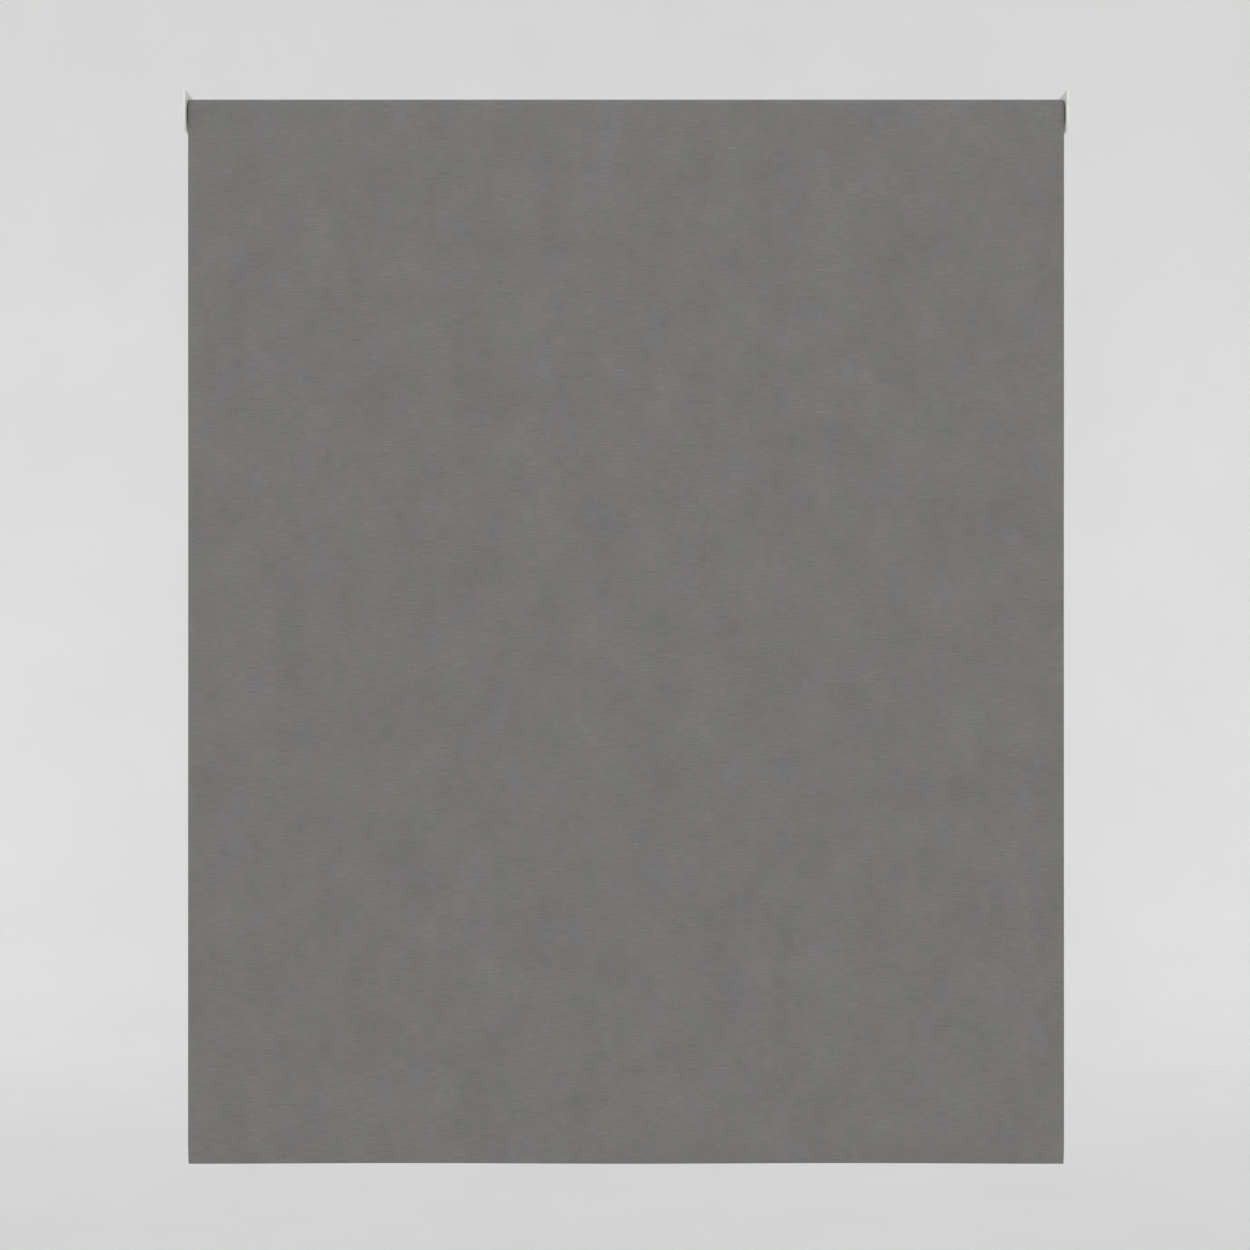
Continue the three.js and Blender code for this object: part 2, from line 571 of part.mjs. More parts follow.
piece(leftEnd, "pin_end_plug", endPlug(-1, PIN_PLUG_LENGTH, [
  [PIN_CHAMBER_R, -PIN_PLUG_LENGTH],
  [PIN_CHAMBER_R, -PLUG_FRONT_WALL],
  [PIN_R + RUNNING, -PLUG_FRONT_WALL],
  [PIN_R + RUNNING, 0],
]), MATERIALS.blackNylon);

piece(leftEnd, "idle_pin", turned([
  [0, PIN_BACK],
  [PIN_TAIL_R, PIN_BACK],
  [PIN_TAIL_R, PIN_COLLAR_BACK],
  [PIN_COLLAR_R, PIN_COLLAR_BACK],
  [PIN_COLLAR_R, PIN_COLLAR_FRONT],
  [PIN_R, PIN_COLLAR_FRONT],
  [PIN_R, PIN_TIP - PIN_CHAMFER],
  [PIN_R - PIN_CHAMFER, PIN_TIP],
  [0, PIN_TIP],
], SMALL_ROUND), MATERIALS.steel);

piece(leftEnd, "pin_spring", coil(
  PIN_TAIL_R + RUNNING + PIN_SPRING_WIRE_R, PIN_SPRING_WIRE_R, PIN_SPRING_BACK,
  PIN_COLLAR_BACK - SEAT, PIN_SPRING_TURNS, 5, 16,
), MATERIALS.springSteel);

piece(leftEnd, "pin_spring_cap", turned([
  [PIN_TAIL_R + RUNNING, PIN_CAP_BACK],
  [PIN_CHAMBER_R + PIN_CAP_REACH, PIN_CAP_BACK],
  [PIN_CHAMBER_R + PIN_CAP_REACH, PIN_CAP_BACK + PIN_CAP_HEAD],
  [PIN_CHAMBER_R - SEAT, PIN_CAP_BACK + PIN_CAP_HEAD],
  [PIN_CHAMBER_R - SEAT, PIN_SPRING_BACK - SEAT],
  [PIN_TAIL_R + RUNNING, PIN_SPRING_BACK - SEAT],
]), MATERIALS.blackNylon);

// ---------------------------------------------------------------- lift mechanism, at the right
// A pin across the shaft, upright, and the hole for it in the pieces that it passes through.
function crossPin(station, radius, length) {
  return bar(radius, -length / 2, length / 2, SMALL_ROUND / 2).rotateX(Math.PI / 2)
    .translate(0, station, 0);
}
const crossHole = (station) => crossPin(station, ROLL_PIN_R + SEAT, 2 * TUBE_OUTER_R);
const PINNED = {
  spear: { station: -SPEAR_HUB_DEPTH + SPEAR_SOCKET_DEPTH / 2, radius: SPEAR_HUB_R },
  brake: { station: (BRAKE_FRONT + BRAKE_BACK) / 2, radius: BRAKE_DRUM_R },
  limit: { station: (END_COLLAR_FRONT + LIMIT_END) / 2, radius: STOP_COLLAR_R },
  anchor: { station: (ANCHOR_FRONT + ANCHOR_SEAT) / 2, radius: ANCHOR_FLANGE_R },
};
for (const [name, { station, radius }] of Object.entries(PINNED)) {
  piece(rightEnd, `roll_pin_${name}`, crossPin(station, ROLL_PIN_R, 2 * (radius - SEAT)),
    MATERIALS.steel);
}

// The flat-ended spear that the bracket holds still, with a socket for the shaft.
function spear() {
  const hubFront = PLATE_INNER - SEAT;
  const hub = turned([
    [0, SOCKET_END],
    [SHAFT_BORE_R, SOCKET_END],
    [SHAFT_BORE_R, -SPEAR_HUB_DEPTH],
    [SPEAR_HUB_R, -SPEAR_HUB_DEPTH],
    [SPEAR_HUB_R, hubFront],
    [0, hubFront],
  ], SMALL_ROUND);
  const blade = blockOf(
    [-SPEAR_THICKNESS / 2, hubFront - 1, -SPEAR_HEIGHT / 2],
    [SPEAR_THICKNESS / 2, PLATE_OUTER + TIP_BEYOND_PLATE, SPEAR_HEIGHT / 2],
  );
  return cut(join(hub, blade), crossHole(PINNED.spear.station));
}
piece(rightEnd, "spear", spear(), MATERIALS.steel);

// The fixed shaft, with a groove for the retaining ring.
const grooveR = SHAFT_R - RING_GROOVE_DEPTH;
const shaft = turned([
  [0, SHAFT_BACK],
  [SHAFT_R, SHAFT_BACK],
  [SHAFT_R, RING_BACK - SEAT],
  [grooveR, RING_BACK - SEAT],
  [grooveR, RING_BACK + RETAINING_RING + SEAT],
  [SHAFT_R, RING_BACK + RETAINING_RING + SEAT],
  [SHAFT_R, SHAFT_FRONT],
  [0, SHAFT_FRONT],
], SMALL_ROUND);
const crossHoles = Object.values(PINNED).map(({ station }) => crossHole(station));
piece(rightEnd, "spring_shaft", cut(shaft, ...crossHoles), MATERIALS.steel);

const lipR = BEARING_OUTER_R - PLUG_LIP;
piece(rightEnd, "spring_end_plug", endPlug(1, SPRING_PLUG_LENGTH, [
  [BEARING_OUTER_R + SEAT, -SPRING_PLUG_LENGTH],
  [BEARING_OUTER_R + SEAT, -FLANGE_THICKNESS],
  [lipR, -FLANGE_THICKNESS],
  [lipR, 0],
]), MATERIALS.blackNylon);

piece(rightEnd, "spear_bearing", sleeve(
  SPEAR_HUB_R + RUNNING, BEARING_OUTER_R, -SPEAR_HUB_DEPTH, -FLANGE_THICKNESS - SEAT,
), MATERIALS.nylon);

// Brake: a drum pinned to the shaft, a wrap spring round it, and a housing turned by the tube.
piece(rightEnd, "brake_drum", cut(
  sleeve(SHAFT_BORE_R, BRAKE_DRUM_R, BRAKE_BACK, BRAKE_FRONT),
  crossHole(PINNED.brake.station),
), MATERIALS.steel);

const brakeInside = [BRAKE_BACK + BRAKE_END_WALL, BRAKE_FRONT - BRAKE_END_WALL - SEAT];
piece(rightEnd, "brake_spring", coil(
  BRAKE_DRUM_R + SEAT + BRAKE_WIRE_R, BRAKE_WIRE_R, brakeInside[0] + SEAT, brakeInside[1],
  BRAKE_TURNS, 5, 18,
), MATERIALS.springSteel);

const drumClearance = BRAKE_DRUM_R + RUNNING;
piece(rightEnd, "brake_housing", cut(turned([
  [drumClearance, BRAKE_BACK],
  [PLUG_R, BRAKE_BACK],
  [PLUG_R, brakeInside[1]],
  [BRAKE_HOUSING_WALL_R, brakeInside[1]],
  [BRAKE_HOUSING_WALL_R, brakeInside[0]],
  [drumClearance, brakeInside[0]],
]), channelGroove(1, BRAKE_BACK - 1, BRAKE_FRONT + 1)), MATERIALS.blackNylon);
piece(rightEnd, "brake_housing_lid", cut(
  sleeve(drumClearance, PLUG_R, BRAKE_FRONT - BRAKE_END_WALL, BRAKE_FRONT),
  channelGroove(1, BRAKE_BACK - 1, BRAKE_FRONT + 1),
), MATERIALS.blackNylon);

// Limit stop: a screw round the shaft, a nut that the tube turns, and a collar at each end of its
// travel. The thread is plain rings at its pitch.
function limitScrew() {
  const rootR = LIMIT_SCREW_R - LIMIT_THREAD_DEPTH;
  const profile = [
    [SHAFT_BORE_R, LIMIT_END],
    [LIMIT_SCREW_R, LIMIT_END],
    [LIMIT_SCREW_R, END_COLLAR_FRONT + SEAT],
  ];
  const threadEnd = LIMIT_START - STOP_COLLAR_LENGTH - LIMIT_PITCH;
  for (let v = END_COLLAR_FRONT + SEAT; v < threadEnd; v += LIMIT_PITCH) {
    profile.push([rootR, v + LIMIT_PITCH / 4], [rootR, v + LIMIT_PITCH / 2]);
    profile.push([LIMIT_SCREW_R, v + (LIMIT_PITCH * 3) / 4], [LIMIT_SCREW_R, v + LIMIT_PITCH]);
  }
  profile.push(
    [LIMIT_SCREW_R, LIMIT_START - STOP_COLLAR_LENGTH],
    [STOP_COLLAR_R, LIMIT_START - STOP_COLLAR_LENGTH],
    [STOP_COLLAR_R, LIMIT_START],
    [SHAFT_BORE_R, LIMIT_START],
  );
  return cut(turned(profile, SMALL_ROUND), crossHole(PINNED.limit.station));
}
piece(rightEnd, "limit_screw", limitScrew(), MATERIALS.nylon);
piece(rightEnd, "limit_end_collar", cut(
  sleeve(LIMIT_SCREW_R + SEAT, STOP_COLLAR_R, LIMIT_END, END_COLLAR_FRONT),
  crossHole(PINNED.limit.station),
), MATERIALS.nylon);
piece(rightEnd, "limit_nut", cut(
  sleeve(LIMIT_SCREW_R + RUNNING, LIMIT_NUT_OUTER_R, NUT_START - LIMIT_NUT_LENGTH, NUT_START),
  channelGroove(1, NUT_START - LIMIT_NUT_LENGTH - 1, NUT_START + 1),
), MATERIALS.blackNylon);

// Counterbalance: a torsion spring from an anchor pinned to the shaft to a plug that drives the
// tube and turns on a bush at the shaft's far end.
piece(rightEnd, "spring_anchor", cut(turned([
  [SHAFT_BORE_R, ANCHOR_SEAT - SPOOL_LENGTH],
  [SPOOL_R, ANCHOR_SEAT - SPOOL_LENGTH],
  [SPOOL_R, ANCHOR_SEAT],
  [ANCHOR_FLANGE_R, ANCHOR_SEAT],
  [ANCHOR_FLANGE_R, ANCHOR_FRONT],
  [SHAFT_BORE_R, ANCHOR_FRONT],
]), crossHole(PINNED.anchor.station)), MATERIALS.nylon);

piece(rightEnd, "lift_spring", coil(
  SPOOL_R + SEAT + LIFT_SPRING_WIRE_R, LIFT_SPRING_WIRE_R, DRIVE_SEAT + SEAT, ANCHOR_SEAT - SEAT,
  LIFT_SPRING_TURNS, 4, 12,
), MATERIALS.springSteel);

const driveBore = DRIVE_BUSH_OUTER_R + SEAT;
piece(rightEnd, "spring_drive_plug", cut(turned([
  [driveBore, DRIVE_BACK],
  [PLUG_R, DRIVE_BACK],
  [PLUG_R, DRIVE_SEAT],
  [SPOOL_R, DRIVE_SEAT],
  [SPOOL_R, DRIVE_SEAT + SPOOL_LENGTH],
  [driveBore, DRIVE_SEAT + SPOOL_LENGTH],
]), channelGroove(1, DRIVE_BACK - 1, DRIVE_SEAT + 1)), MATERIALS.blackNylon);
piece(rightEnd, "drive_bush", sleeve(
  SHAFT_R + RUNNING, DRIVE_BUSH_OUTER_R, DRIVE_BACK, DRIVE_SEAT + SPOOL_LENGTH, SMALL_ROUND,
), MATERIALS.nylon);

piece(rightEnd, "retaining_ring", cut(
  sleeve(
    grooveR + SEAT, SHAFT_R + RETAINING_RING_REACH, RING_BACK, RING_BACK + RETAINING_RING,
    SMALL_ROUND,
  ),
  blockOf([-RING_OPENING / 2, RING_BACK - 1, 0],
    [RING_OPENING / 2, RING_BACK + RETAINING_RING + 1, SHAFT_R + RETAINING_RING_REACH + 1]),
), MATERIALS.springSteel);

// ---------------------------------------------------------------- bracket screws
// A domed cross-head wood screw with its head at the room side, its seat at y = 0.
function woodScrew() {
  const dome = new THREE.EllipseCurve(0, 0, SCREW_HEAD_R, SCREW_HEAD, -Math.PI / 2, 0)
    .getPoints(5)
    .map(({ x, y }) => [Math.max(x, 0), y]);
  dome[0][0] = 0;
  const body = turned([
    ...dome,
    [SCREW_SHANK_R, 0],
    [SCREW_SHANK_R, SCREW_LENGTH - SCREW_POINT],
    [0, SCREW_LENGTH],
  ], SMALL_ROUND);
  const top = -SCREW_HEAD - 1;
  const floor = -SCREW_HEAD + SCREW_RECESS_DEPTH;
  const half = SCREW_RECESS_WIDTH / 2;
  const reach = SCREW_RECESS_REACH;
  return cut(body, blockOf([-reach, top, -half], [reach, floor, half]),
    blockOf([-half, top, -reach], [half, floor, reach]));
}

for (const [side, word] of [[-1, "left"], [1, "right"]]) {
  const x = station(side, PLATE_OUTER - FLANGE_WIDTH + SCREW_HOLE_INSET);
  const heights = { upper: -SCREW_HOLE_INSET, lower: -BRACKET_HEIGHT + SCREW_HOLE_INSET };
  for (const [row, z] of Object.entries(heights)) {
    const screw = piece(blind, `${word}_bracket_screw_${row}`, woodScrew(), MATERIALS.steel);
    screw.position.set(x, BRACKET_BACK - PLATE_THICKNESS - SEAT, z);
  }
}

export default blind;
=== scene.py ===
# %% [markdown]
# # A spring-lift roller blind
#
# The blind hangs fully lowered from two slim end brackets. Its cloth leaves the front of the
# roller, hangs as one flat drop and turns up at the bottom round a hem bar that nobody sees. This
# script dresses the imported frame: it makes the cloth, its slubs and weld, the coil springs and the
# screw threads, and gives every piece a procedural material.
#
# Everything is in metres: +X to the right seen from the room, +Y into the wall, +Z up. The origin
# is on the wall face, midway between the brackets and level with their top edges.

# %% Load the frame
import json
import math

import bpy
import numpy as np
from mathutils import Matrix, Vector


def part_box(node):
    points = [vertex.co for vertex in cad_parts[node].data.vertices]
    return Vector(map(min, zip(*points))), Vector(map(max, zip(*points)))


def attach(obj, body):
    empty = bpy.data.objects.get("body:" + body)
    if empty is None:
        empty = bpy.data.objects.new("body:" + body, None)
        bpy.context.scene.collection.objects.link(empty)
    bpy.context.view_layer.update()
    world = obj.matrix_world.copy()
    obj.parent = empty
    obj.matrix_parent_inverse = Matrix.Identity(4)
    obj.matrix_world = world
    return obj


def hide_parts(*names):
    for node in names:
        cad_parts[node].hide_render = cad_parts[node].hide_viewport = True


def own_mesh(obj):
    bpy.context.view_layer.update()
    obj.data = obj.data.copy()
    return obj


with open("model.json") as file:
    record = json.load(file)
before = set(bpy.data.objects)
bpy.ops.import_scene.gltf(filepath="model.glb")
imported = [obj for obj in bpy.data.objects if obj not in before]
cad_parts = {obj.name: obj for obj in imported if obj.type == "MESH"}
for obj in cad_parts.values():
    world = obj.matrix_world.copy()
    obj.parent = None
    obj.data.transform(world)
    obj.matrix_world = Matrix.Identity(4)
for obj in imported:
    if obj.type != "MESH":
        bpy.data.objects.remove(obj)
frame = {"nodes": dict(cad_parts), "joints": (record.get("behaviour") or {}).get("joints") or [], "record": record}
NODES = frame["nodes"]
JOINTS = {joint["name"]: joint for joint in frame["joints"]}
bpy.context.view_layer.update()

# %% [markdown]
# ## Places read from the frame
#
# The cloth's front face, thickness, width and ends come from the plain solids that the frame holds
# for it, and the roller's axis from the joint that turns it.

# %% Measure the frame
MM = 0.001
AXIS_Y, AXIS_Z = JOINTS["roller_spin"]["pos_m"][1:]

drop_low, drop_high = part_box("fabric_drop")
hem_low, hem_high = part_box("fabric_hem")
bar_low, bar_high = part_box("hem_bar")
HALF_WIDTH = drop_high.x
CLOTH = drop_high.y - drop_low.y  # thickness
FRONT = drop_low.y
MIDDLE = FRONT + CLOTH / 2  # middle of the hanging cloth
LEAVE_Z = AXIS_Z  # where the cloth leaves the roller
HEM_TOP = hem_high.z
HEM_BOTTOM = hem_low.z
LEAVING_R = AXIS_Y - MIDDLE
print(f"cloth {2 * HALF_WIDTH:.3f} m wide, {CLOTH / MM:.2f} mm thick,"
      f" drop {LEAVE_Z - HEM_TOP:.3f} m, roll radius {LEAVING_R / MM:.2f} mm")

# %% [markdown]
# ## Node helper
#
# `add` puts one node in a tree with its settings and its inputs, and gives back one of its
# outputs. An input is a value, or the output of another node. Colours are written as sRGB hex and
# turned linear once, here.

# %% Node helper
def add(tree, kind, inputs=(), out=0, **settings):
    """Inputs go by their order, or by name or number in a dictionary. out=None gives all
    outputs."""
    node = tree.nodes.new(kind)
    for name, value in settings.items():
        setattr(node, name, value)
    for key, value in (inputs.items() if isinstance(inputs, dict) else enumerate(inputs)):
        if isinstance(value, bpy.types.NodeSocket):
            tree.links.new(value, node.inputs[key])
        else:
            node.inputs[key].default_value = value
    return node.outputs if out is None else node.outputs[out]


def linear(text, strength=1.0):
    """An sRGB hex colour in linear light, made darker by a strength under 1."""
    channels = [int(text[i:i + 2], 16) / 255 for i in (1, 3, 5)]
    values = [c / 12.92 if c <= 0.04045 else ((c + 0.055) / 1.055) ** 2.4 for c in channels]
    return (*[strength * value for value in values], 1.0)


print("half-bright grey is", round(linear("#808080")[0], 3), "in linear light")

# %% Materials, patterns and relief
def start_material(name, roughness, metallic=0.0):
    """A new material, its tree and its shader, with the even values set on the shader."""
    material = bpy.data.materials.new(name)
    material.use_nodes = True
    tree = material.node_tree
    shader = tree.nodes["Principled BSDF"]
    shader.inputs["Roughness"].default_value = roughness
    shader.inputs["Metallic"].default_value = metallic
    return material, tree, shader


NOISE_LOW, NOISE_HIGH = 0.3, 0.7  # most of the noise lies between these


def clouds(tree, vector, sizes_mm, low, high, detail=3.0, rough=0.55):
    """Uneven patches of a real size along each axis, spread evenly between two values."""
    place = add(tree, "ShaderNodeVectorMath",
                [vector, [1 / (size * MM) if size else 0.0 for size in sizes_mm]],
                operation="MULTIPLY")
    patches = add(tree, "ShaderNodeTexNoise",
                  {"Vector": place, "Scale": 1.0, "Detail": detail, "Roughness": rough})
    return add(tree, "ShaderNodeMapRange", [patches, NOISE_LOW, NOISE_HIGH, low, high], clamp=False)


def relief(tree, shader, *layers):
    """Bump layers on the shader, each a height and its depth in millimetres."""
    normal = None
    for height, depth in layers:
        inputs = {"Height": height, "Distance": depth * MM, "Strength": 1.0}
        if normal:
            inputs["Normal"] = normal
        normal = add(tree, "ShaderNodeBump", inputs)
    tree.links.new(normal, shader.inputs["Normal"])


print("patterns map noise from", NOISE_LOW, "to", NOISE_HIGH)

# %% [markdown]
# ## Cloth material
#
# Plain-woven polyester blockout, piece-dyed mid grey. Thick and thin weft yarns leave short level
# streaks, and the dye takes a little warmer and a little cooler from place to place. The threads
# cross every half millimetre, too fine to tell apart from across a room, so the streaks are drawn
# three threads high. The back carries a smooth pale coating. The hanging drop is textured from its
# place, so that its weave keeps its size as the cloth winds up, and the roll and hem from their
# flat pattern, which carries on from the drop's.

# %% Sizes of the weave
THREAD = 0.5  # mm between threads, both ways
STREAK = (20.0, 0, 1.5)  # mm: length, nothing through the cloth, height
DYE = (64.0, 0, 70.0)  # mm: size of the largest warm and cool patches
SHADE = (80.0, 0, 90.0)  # mm: size of the largest light and dark patches
SHADE_RANGE = (0.895, 1.105)  # of the streaks and of the patches
# painted shade between the threads and painted light on their crowns, as a share of the colour
PAINTED_GAP_SHADE = 0.12  # how much darker the cloth is between threads, and lighter on them
STREAK_RELIEF = 8  # how much deeper the streaks are than the threads
CLOTH_ROUGHNESS = 0.92
CLOTH_SHADER = {"Sheen Weight": 0.12, "Sheen Roughness": 0.5, "Specular IOR Level": 0.2}
print("streaks", STREAK[0], "mm long and", STREAK[2] / THREAD, "threads high")

# %% Weave and cloth
def weave_height(tree, vector):
    """Warp and weft crowns that pass over each other in turn."""
    x, _, z = add(tree, "ShaderNodeSeparateXYZ", [vector], out=None)
    waves = []
    for way in (x, z):
        angle = add(tree, "ShaderNodeMath", [way, math.pi / (THREAD * MM)], operation="MULTIPLY")
        waves.append(add(tree, "ShaderNodeMath", [angle], operation="SINE"))
    crossing = add(tree, "ShaderNodeMath", waves, operation="MULTIPLY")
    over = add(tree, "ShaderNodeMath", [crossing, 0.0], operation="GREATER_THAN")
    warp, weft = [add(tree, "ShaderNodeMath", [wave], operation="ABSOLUTE") for wave in waves]
    return add(tree, "ShaderNodeMix", {0: over, 2: weft, 3: warp})


def cloth_material(name, from_place, warm, cool, relief_mm):
    """Woven cloth between a warm and a cool dye. from_place reads the piece's place, and the
    rest read the flat pattern that their mesh carries."""
    material, tree, shader = start_material(name, CLOTH_ROUGHNESS)
    if from_place:
        vector = add(tree, "ShaderNodeTexCoord", out="Object")
    else:
        vector = add(tree, "ShaderNodeAttribute", out="Vector", attribute_name="flat_pattern")
    dye = clouds(tree, vector, DYE, 0.0, 1.0, 7.0, 0.75)
    color = add(tree, "ShaderNodeMix", {0: dye, 6: linear(warm), 7: linear(cool)}, out=2,
                data_type="RGBA")
    streaks = clouds(tree, vector, STREAK, *SHADE_RANGE, 3.0, 0.62)
    patches = clouds(tree, vector, SHADE, *SHADE_RANGE, 8.0, 0.78)
    threads = weave_height(tree, vector)
    # painted shade in the gaps between threads and painted light on their crowns
    painted_thread_shade = add(tree, "ShaderNodeMapRange", [threads, 0.0, 1.0, 1 - PAINTED_GAP_SHADE, 1 + PAINTED_GAP_SHADE])
    for shade in (streaks, patches, painted_thread_shade):
        color = add(tree, "ShaderNodeMix", {0: 1.0, 6: color, 7: shade}, out=2,
                    data_type="RGBA", blend_type="MULTIPLY")
    tree.links.new(color, shader.inputs["Base Color"])
    relief(tree, shader, (streaks, STREAK_RELIEF * relief_mm), (threads, relief_mm))
    for label, value in CLOTH_SHADER.items():
        shader.inputs[label].default_value = value
    return material

# %% Cloth materials
FACE = ("#7d7c78", "#7c7a7b", 0.08)  # warm, cool, relief in mm
COATING = ("#93928f", "#919091", 0.015)
SLUB = ("#767572", "#757373", 0.03)
cloth_hanging = cloth_material("cloth_hanging", True, *FACE)
cloth_curved = cloth_material("cloth_curved", False, *FACE)
slub_yarn = cloth_material("slub_yarn", True, *SLUB)
coating_hanging = cloth_material("coating_hanging", True, *COATING)
coating_curved = cloth_material("coating_curved", False, *COATING)
print("cloth materials with threads every", THREAD, "mm")

# %% [markdown]
# ## Materials of the hard pieces
#
# Powder-coated pressed steel for the brackets, moulded ABS, nylon and PVC, extruded aluminium for
# the tube and the hem bar, zinc-plated steel for shafts, pins and screws, and dark oiled spring
# wire. Each is nearly even in colour, and its making shows in the gloss and in a very fine relief.

# %% Painted, moulded and bare surfaces
DARK_TONE = 0.93  # of the colour, in a surface's darkest patches


def finished(name, color, roughness, metallic, tone, grain_mm, depth_mm, spread):
    """A nearly even surface. tone is the size of its light and dark patches in mm, grain_mm the
    size of its grain or tool lines along x, y and z, depth_mm their depth, and spread how far
    the grain moves the roughness."""
    material, tree, shader = start_material(name, roughness, metallic)
    vector = add(tree, "ShaderNodeTexCoord", out="Object")
    patches = clouds(tree, vector, (tone,) * 3, 0.0, 1.0, 2.0)
    toned = add(tree, "ShaderNodeMix",
                {0: patches, 6: linear(color, DARK_TONE), 7: linear(color)}, out=2,
                data_type="RGBA")
    tree.links.new(toned, shader.inputs["Base Color"])
    grain = clouds(tree, vector, grain_mm, 0.0, 1.0, 3.0, 0.6)
    gloss = add(tree, "ShaderNodeMapRange",
                [grain, 0.0, 1.0, roughness - spread, roughness + spread])
    tree.links.new(gloss, shader.inputs["Roughness"])
    relief(tree, shader, (grain, depth_mm))
    return material


print("a surface's darkest patches have", DARK_TONE, "of its colour")

# %% One finish for each slot
SLOT_MATERIALS = {
    # polyester powder coat: satin, with a faint orange peel
    "bracket_steel": finished("white_powder_coat", "#e6e6e4", 0.38, 0, 30, (1.1,) * 3, 0.02, 0.03),
    # ABS from a lightly spark-eroded mould
    "white_plastic": finished("white_abs", "#ecece9", 0.36, 0, 16, (0.5,) * 3, 0.012, 0.06),
    # mill-finish extrusion: fine lines along it
    "aluminium": finished("mill_aluminium", "#c9cbce", 0.34, 1, 18, (160, 0.35, 0.35), 0.006, 0.09),
    # zinc plate on turned and cold-headed steel: rings round it
    "steel": finished("zinc_plated_steel", "#b9bcc2", 0.28, 1, 12, (0.3, 4, 4), 0.004, 0.08),
    # drawn wire under a film of oil
    "spring_steel": finished("oiled_spring_wire", "#6d7075", 0.33, 1, 9, (0.6, 2, 2), 0.004, 0.08),
    # unfilled nylon: waxy and a little yellow
    "nylon": finished("natural_nylon", "#ddd9cc", 0.45, 0, 14, (0.7,) * 3, 0.01, 0.06),
    # glass-filled nylon: dull, with a coarse flow grain
    "black_nylon": finished("black_glass_nylon", "#1b1c1e", 0.5, 0, 10, (0.4,) * 3, 0.015, 0.08),
    # extruded soft PVC
    "vinyl": finished("grey_pvc", "#cdd1d1", 0.4, 0, 20, (40, 2.5, 2.5), 0.02, 0.05),
}
print(len(SLOT_MATERIALS), "slots besides the cloth")

# %% [markdown]
# ## Finish of the frame's own pieces
#
# Pressed, moulded and turned pieces keep their shape. A small bevel breaks their edges, and faces
# that meet at a shallow angle shade as one round surface.

# %% Soft edges
def smooth_tree(limit_degrees):
    """Geometry nodes that weld the corners and shade every edge under the limit smooth."""
    tree = bpy.data.node_groups.new("round_shading", "GeometryNodeTree")
    tree.interface.new_socket("Geometry", in_out="INPUT", socket_type="NodeSocketGeometry")
    tree.interface.new_socket("Geometry", in_out="OUTPUT", socket_type="NodeSocketGeometry")
    source = add(tree, "NodeGroupInput")
    welded = add(tree, "GeometryNodeMergeByDistance", {"Geometry": source, "Distance": 1e-6})
    faces = add(tree, "GeometryNodeSetShadeSmooth", [welded])
    angle = add(tree, "GeometryNodeInputMeshEdgeAngle", out="Unsigned Angle")
    sharp = add(tree, "FunctionNodeCompare", [angle, math.radians(limit_degrees)],
                data_type="FLOAT", operation="GREATER_THAN")
    edges = add(tree, "GeometryNodeSetShadeSmooth",
                {"Geometry": faces, "Selection": sharp, "Shade Smooth": False}, domain="EDGE")
    add(tree, "NodeGroupOutput", [edges], out=None)
    return tree


SMOOTH_LIMIT = 30  # degrees: faces that meet at less shade as one
ROUND_SHADING = smooth_tree(SMOOTH_LIMIT)
print("round shading under", SMOOTH_LIMIT, "degrees")

# %% Finish the pieces
EDGE_BREAK = {"bracket_steel": 0.3, "white_plastic": 0.4, "steel": 0.15, "nylon": 0.2,
              "black_nylon": 0.25, "aluminium": 0.12}  # mm
BEVEL_LIMIT = 40  # degrees: edges sharper than this are broken


def soften(piece, slot_name):
    shading = piece.modifiers.new("round_shading", "NODES")
    shading.node_group = ROUND_SHADING
    if slot_name in EDGE_BREAK:
        bevel = piece.modifiers.new("edge_break", "BEVEL")
        bevel.width = EDGE_BREAK[slot_name] * MM
        bevel.segments = 2
        bevel.limit_method = "ANGLE"
        bevel.angle_limit = math.radians(BEVEL_LIMIT)
        bevel.harden_normals = True


REBUILT = {"fabric_drop", "fabric_hem", "fabric_roll", "lift_spring", "pin_spring", "brake_spring"}
for part in frame["record"]["subparts"]:
    if part["node"] in REBUILT:
        continue
    piece = NODES[part["node"]]
    piece.data.materials.clear()
    piece.data.materials.append(SLOT_MATERIALS[part["material_slot"]])
    soften(piece, part["material_slot"])
print(len(NODES) - len(REBUILT), "frame pieces finished")

# %% [markdown]
# ## Cloth sheets
#
# Each sheet is a middle surface of points, thickened to both sides and closed at its edges. It
# carries its flat pattern as an attribute: how far each point is across the cloth and down it.

# %% Pieces
SHARP_LIMIT = 40  # degrees


def new_piece(name, points, faces, materials):
    """An object at the origin, smooth but for its edges over the sharp limit."""
    mesh = bpy.data.meshes.new(name)
    mesh.from_pydata([tuple(p) for p in points], [], [tuple(int(i) for i in f) for f in faces])
    for material in materials:
        mesh.materials.append(material)
    mesh.polygons.foreach_set("use_smooth", [True] * len(mesh.polygons))
    mesh.validate()
    mesh.set_sharp_from_angle(angle=math.radians(SHARP_LIMIT))
    mesh.update()
    piece = bpy.data.objects.new(name, mesh)
    bpy.context.scene.collection.objects.link(piece)
    return piece


print("new pieces keep edges over", SHARP_LIMIT, "degrees sharp")

# %% Thick sheets
def grid_normals(grid):
    """The direction that each point of a grid faces."""
    across = np.gradient(grid, axis=1)
    down = np.gradient(grid, axis=0)
    normal = np.cross(down, across)
    return normal / np.linalg.norm(normal, axis=2, keepdims=True)


